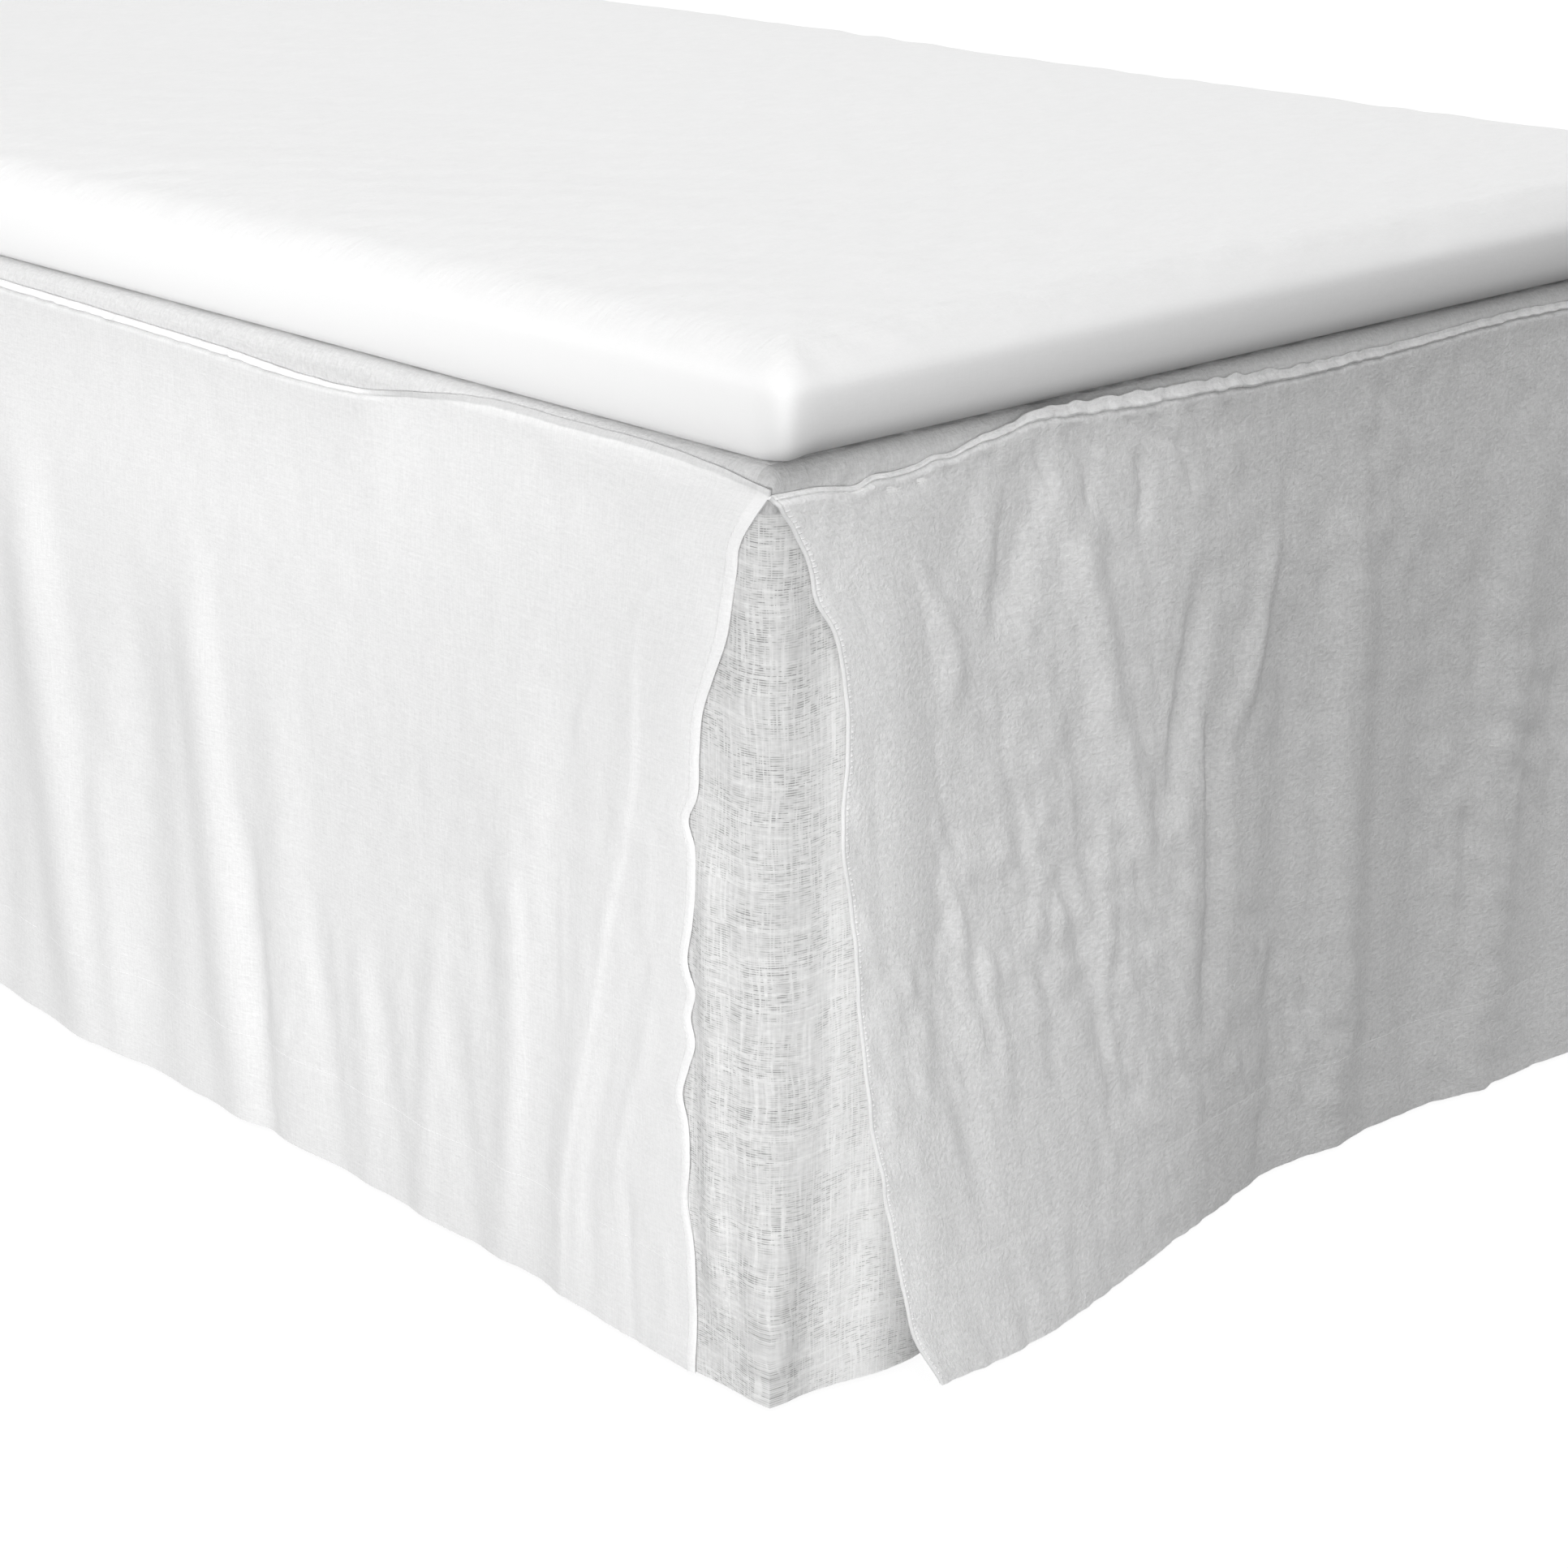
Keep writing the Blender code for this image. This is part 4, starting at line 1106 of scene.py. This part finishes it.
for drop in DROPS:
    above, below, count = drop.rows
    groove = groove_at(drop, drop.columns)
    roll = ROLL_TOP * np.maximum(roll_at(drop, drop.columns), ROLL_LEAST)
    heights = [groove + roll * share for share in above] + [groove - down for down in below]
    last = heights[-1]
    heights += [last + (HEM_HEIGHT - last) * i / count for i in range(1, count + 1)]
    height = np.array(heights)
    column = np.tile(drop.columns, (len(heights), 1))
    points = drop_surface(drop, column, height)
    beside = column if not drop.far_edge else np.minimum(column, drop.length - column)
    tone_and_painted_light = np.maximum(EDGE_HEM_TONE * ease(1 - (beside - drop.edge_hem) / 0.001),
                         HEM_TONE * drop.crumple * ease(1 - (height - HEM_BAND) / 0.002))
    above = (height - groove) / roll
    rolled = rolled_at(drop, drop.columns)
    # Painted highlight on the roll, painted shade in its groove and above a flat seam, painted
    # light below a flat seam and near the corner
    gathers = ROLL_PAINTED_HIGHLIGHT + wrinkled((ROLL_HIGHLIGHT_VARIES,), drop.columns, drop.columns)
    tone_and_painted_light = tone_and_painted_light + rolled * gathers * ease(above / 0.25)
    tone_and_painted_light = tone_and_painted_light + rolled * GROOVE_PAINTED_SHADE * rounded(height - groove, 0.0014)
    flat = 1 - rolled
    tone_and_painted_light = tone_and_painted_light + FLAT_SEAM_PAINTED_SHADE * flat * ease(above * 2 + 0.7)
    tone_and_painted_light = tone_and_painted_light + UNDER_SEAM_PAINTED_LIGHT * flat * ease(1 - (groove - height) / 0.10) * (above < 0)
    tone_and_painted_light = tone_and_painted_light + NEAR_CORNER_PAINTED_LIGHT * drop.crumple * ease(1 - column / 0.07)
    # Painted shade along the foot towards its far end, and low on the left drop away from the
    # corner
    tone_and_painted_light = tone_and_painted_light - painted_shade_at(drop, column, height)
    outward = Vector((*drop.out, 0))
    panel = lay_cloth(points, column, height, tone_and_painted_light, drop.crumple, lambda middle: outward, CLOTH)
    settle(panel, drop.name + "_cloth", linen)
    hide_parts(drop.name)

# ---- The sewing ----
# The corded edge is rolled tight and overcast with thread; the other free edge has a narrow
# hem with a row of stitches, and a wider hem runs along the foot of each drop.
CORD_RADIUS = 0.00130
THREAD_RADIUS = 0.00019
OVERCAST_RADIUS = 0.00045
OVERCAST_STEP = 0.0032
OVERCAST_REACH = 0.0044
STITCH_LENGTH = 0.0027
STITCH_STEP = 0.0035

thread, tree, shader = blank_material("sewing thread", 0.7)
place = add_node(tree, "ShaderNodeTexCoord").outputs["Object"]
twist = add_node(tree, "ShaderNodeTexNoise", {"Vector": place, "Scale": 1400.0, "Detail": 1.0})
lighter = maths(tree, "ADD", 0.92, maths(tree, "MULTIPLY", twist.outputs["Fac"], 0.14))
tinted = add_node(tree, "ShaderNodeVectorMath", {0: (0.90, 0.90, 0.90), "Scale": lighter},
                  operation="SCALE").outputs[0]
tree.links.new(tinted, shader.inputs["Base Color"])
relief = add_node(tree, "ShaderNodeBump", {"Strength": 0.6, "Distance": 0.0002,
                                           "Height": twist.outputs["Fac"]})
tree.links.new(relief.outputs[0], shader.inputs["Normal"])


def threads(name, runs, radius, resolution):
    """Threads along runs of points, as one mesh."""
    curve = bpy.data.curves.new(name, "CURVE")
    curve.dimensions = "3D"
    curve.bevel_depth = radius
    curve.bevel_resolution = resolution
    curve.use_fill_caps = True
    for run in runs:
        spline = curve.splines.new("POLY")
        spline.points.add(len(run) - 1)
        for spot, point in zip(spline.points, run):
            spot.co = (*point, 1.0)
    piece = bpy.data.objects.new(name, curve)
    bpy.context.scene.collection.objects.link(piece)
    bpy.ops.object.select_all(action="DESELECT")
    piece.select_set(True)
    bpy.context.view_layer.objects.active = piece
    bpy.ops.object.convert(target="MESH")
    piece = bpy.context.object
    bpy.ops.object.shade_smooth()
    settle(piece, name, thread)
    return piece


def along_drop(drop, column, height, proud):
    """Points on the face of a drop's cloth."""
    points = drop_surface(drop, np.atleast_2d(column), np.atleast_2d(height))[0]
    return points + np.array([*drop.out, 0.0]) * (CLOTH / 2 + proud)


for drop in DROPS:
    if drop.near_edge is CORDED_EDGE:
        heights = np.arange(0.519, HEM_HEIGHT + 0.001, -0.0012)
        edge_line = along_drop(drop, np.zeros_like(heights), heights, -CLOTH / 2 + 0.0002)
        threads(drop.name + "_cord", [edge_line], CORD_RADIUS, 2)
        ticks = []
        for at in np.arange(0.510, HEM_HEIGHT + 0.004, -OVERCAST_STEP):
            spots = np.array([0.0004, 0.0014, 0.0030, OVERCAST_REACH])
            slant = at + np.array([0.0, 0.0002, 0.0004, 0.0006])
            ticks.append(along_drop(drop, spots, slant, 0.00005))
        threads(drop.name + "_overcast", ticks, OVERCAST_RADIUS, 0)
    hem_runs = []
    if HEMMED_EDGE in (drop.near_edge, drop.far_edge):
        column = EDGE_HEM if drop.near_edge is HEMMED_EDGE else drop.length - EDGE_HEM
        for at in np.arange(0.500, HEM_HEIGHT + 0.004, -STITCH_STEP):
            spots = np.full(3, column)
            heights = at - np.array([0.0, STITCH_LENGTH / 2, STITCH_LENGTH])
            hem_runs.append(along_drop(drop, spots, heights, 0.00002))
    for at in np.arange(0.012, drop.length - 0.014, STITCH_STEP):
        spots = at + np.array([0.0, STITCH_LENGTH])
        hem_runs.append(along_drop(drop, spots, np.full(2, HEM_BAND), 0.00002))
    threads(drop.name + "_stitches", hem_runs, THREAD_RADIUS, 0)

# ---- The mattress ----
# A foam mattress pad in a plain white fitted sheet. Its edges are full and round, its corners
# are drawn sharper towards the seam at the bottom, and the sheet lies in fine creases.
PAD_ROUND = 0.034
PAD_OVERHANG = 0.0032
FOOT_OVERHANG = 0.0158
PAD_FINE = (0.40, 0.60)
CROWN = 0.0100
CROWN_REACH = 0.060
SHEET_WRINKLES = (Wrinkle(9, 38, 0.0012, 5.0), Wrinkle(44, 14, 0.0009, 15.0))
SHEET_DIPS = (Wrinkle(4, 4, 0.0016, 25.0),)
SHEET_LIFT = 0.0012
# Painted light on the lower half of the sides, and painted shade along the bottom edge
LOWER_SIDE_PAINTED_LIGHT = 1.5
BENEATH_PAINTED_SHADE = -4.5
SHEET_WHITE = (0.92, 0.92, 0.92)

pad_low, pad_high = (Vector(corner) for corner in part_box("mattress"))
sheet_white = cloth_material("white fitted sheet", Finish(
    colour=SHEET_WHITE, thread=0.0006, warp=0.04, weft=0.04, slubs=0.0, open=0.0, fuzz=0.03,
    weave_relief=0.00002, creases=(44.0, 110.0, 1.0), crease_relief=0.0011, lighter=0.10,
    mottle=0.05))
pad_middle = (pad_low.z + pad_high.z) / 2
half_height = (pad_high.z - pad_low.z) / 2
round_length = math.pi / 2 * (PAD_ROUND + half_height)
left_flat = pad_low.x - PAD_OVERHANG + PAD_ROUND
right_flat = pad_high.x + PAD_OVERHANG - PAD_ROUND
foot_flat = pad_low.y - FOOT_OVERHANG + PAD_ROUND
head_flat = pad_high.y + PAD_OVERHANG - PAD_ROUND
reach = spaced((Span(0.0, round_length, 0.0034), Span(round_length, round_length + 0.05, 0.02)))
pad_x = np.concatenate([
    left_flat - reach[::-1], widening(left_flat, left_flat + PAD_FINE[0], 0.0040, 0.0052),
    widening(left_flat + PAD_FINE[0], right_flat, 0.0055, 0.0100), right_flat + reach[1:],
])
pad_y = np.concatenate([
    foot_flat - reach[::-1], widening(foot_flat, foot_flat + PAD_FINE[1], 0.0040, 0.0060),
    widening(foot_flat + PAD_FINE[1], head_flat, 0.0065, 0.0200), head_flat + reach[1:],
])
flat_x, flat_y = np.meshgrid(pad_x, pad_y)
beyond_x = flat_x - np.clip(flat_x, left_flat, right_flat)
beyond_y = flat_y - np.clip(flat_y, foot_flat, head_flat)
past_x, past_y = np.abs(beyond_x), np.abs(beyond_y)
reach = np.maximum(past_x, past_y)
small = np.minimum(past_x, past_y)
share = np.divide(small, reach, out=np.zeros_like(reach), where=reach > 0)
angle = math.pi / 4 * share
angle = np.where(past_x >= past_y, angle, math.pi / 2 - angle)
turn = np.clip(reach / round_length, 0, 1) * math.pi
# footward is 0 along the sides and 1 along the foot and head, whose edges are rounder
footward = np.sin(angle) ** 2
fullness = np.where(turn < math.pi / 2, 0.84 + 0.38 * footward, 0.34 + 0.58 * footward)
out = PAD_ROUND * np.sin(np.clip(turn, 0, math.pi)) ** fullness
down = half_height - np.sign(np.cos(turn)) * half_height * np.abs(np.cos(turn)) ** 0.90
out = out - np.maximum(reach - round_length, 0)
power = 3.7 + 4.4 * ease(down / (1.3 * half_height))
squared = (np.cos(angle) ** power + np.sin(angle) ** power) ** (-1 / power)
pad_points = np.stack([
    np.clip(flat_x, left_flat, right_flat) + out * np.cos(angle) * squared * np.sign(beyond_x),
    np.clip(flat_y, foot_flat, head_flat) + out * np.sin(angle) * squared * np.sign(beyond_y),
    pad_high.z - down,
], axis=-1)
slanted = flat_x * 0.8 + flat_y * 0.6
crossed = flat_y * 0.8 - flat_x * 0.6
lie = wrinkled(SHEET_WRINKLES, slanted, crossed) + wrinkled(SHEET_DIPS, flat_x, flat_y)
lie = lie * ease(1 - down / 0.03)
inside = np.minimum(np.minimum(flat_x - left_flat, right_flat - flat_x),
                    np.minimum(flat_y - foot_flat, head_flat - flat_y))
from_edge = np.where(reach > 0, PAD_ROUND - out, PAD_ROUND + inside)
lie = lie - CROWN * np.exp(-from_edge / CROWN_REACH) * ease(1 - down / half_height)
pad_points[..., 2] += np.minimum(lie, SHEET_LIFT) - SHEET_LIFT
# Painted shade along its bottom edge where it meets the deck, most at the foot, and painted light
# on the lower half of its sides
under = 0.009 + 0.011 * footward
beneath = ease((down - 2 * half_height + under) / under) * (0.5 + 0.5 * footward)
lower_painted_light = (1 - footward) * ease((down / half_height - 0.20) / 0.9)
pad = lay_cloth(pad_points, flat_x, flat_y, LOWER_SIDE_PAINTED_LIGHT * lower_painted_light + BENEATH_PAINTED_SHADE * beneath,
                0.15 + 0.85 * ease(1 - down / 0.02),
                lambda middle: middle - Vector((base_middle.x, base_middle.y, pad_middle)), 0)
bpy.ops.object.mode_set(mode="EDIT")
bpy.ops.mesh.select_mode(type="EDGE")
bpy.ops.mesh.select_all(action="DESELECT")
bpy.ops.mesh.select_non_manifold()
bpy.ops.mesh.edge_face_add()
bpy.ops.object.mode_set(mode="OBJECT")
settle(pad, "mattress_pad", sheet_white)
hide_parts("mattress")
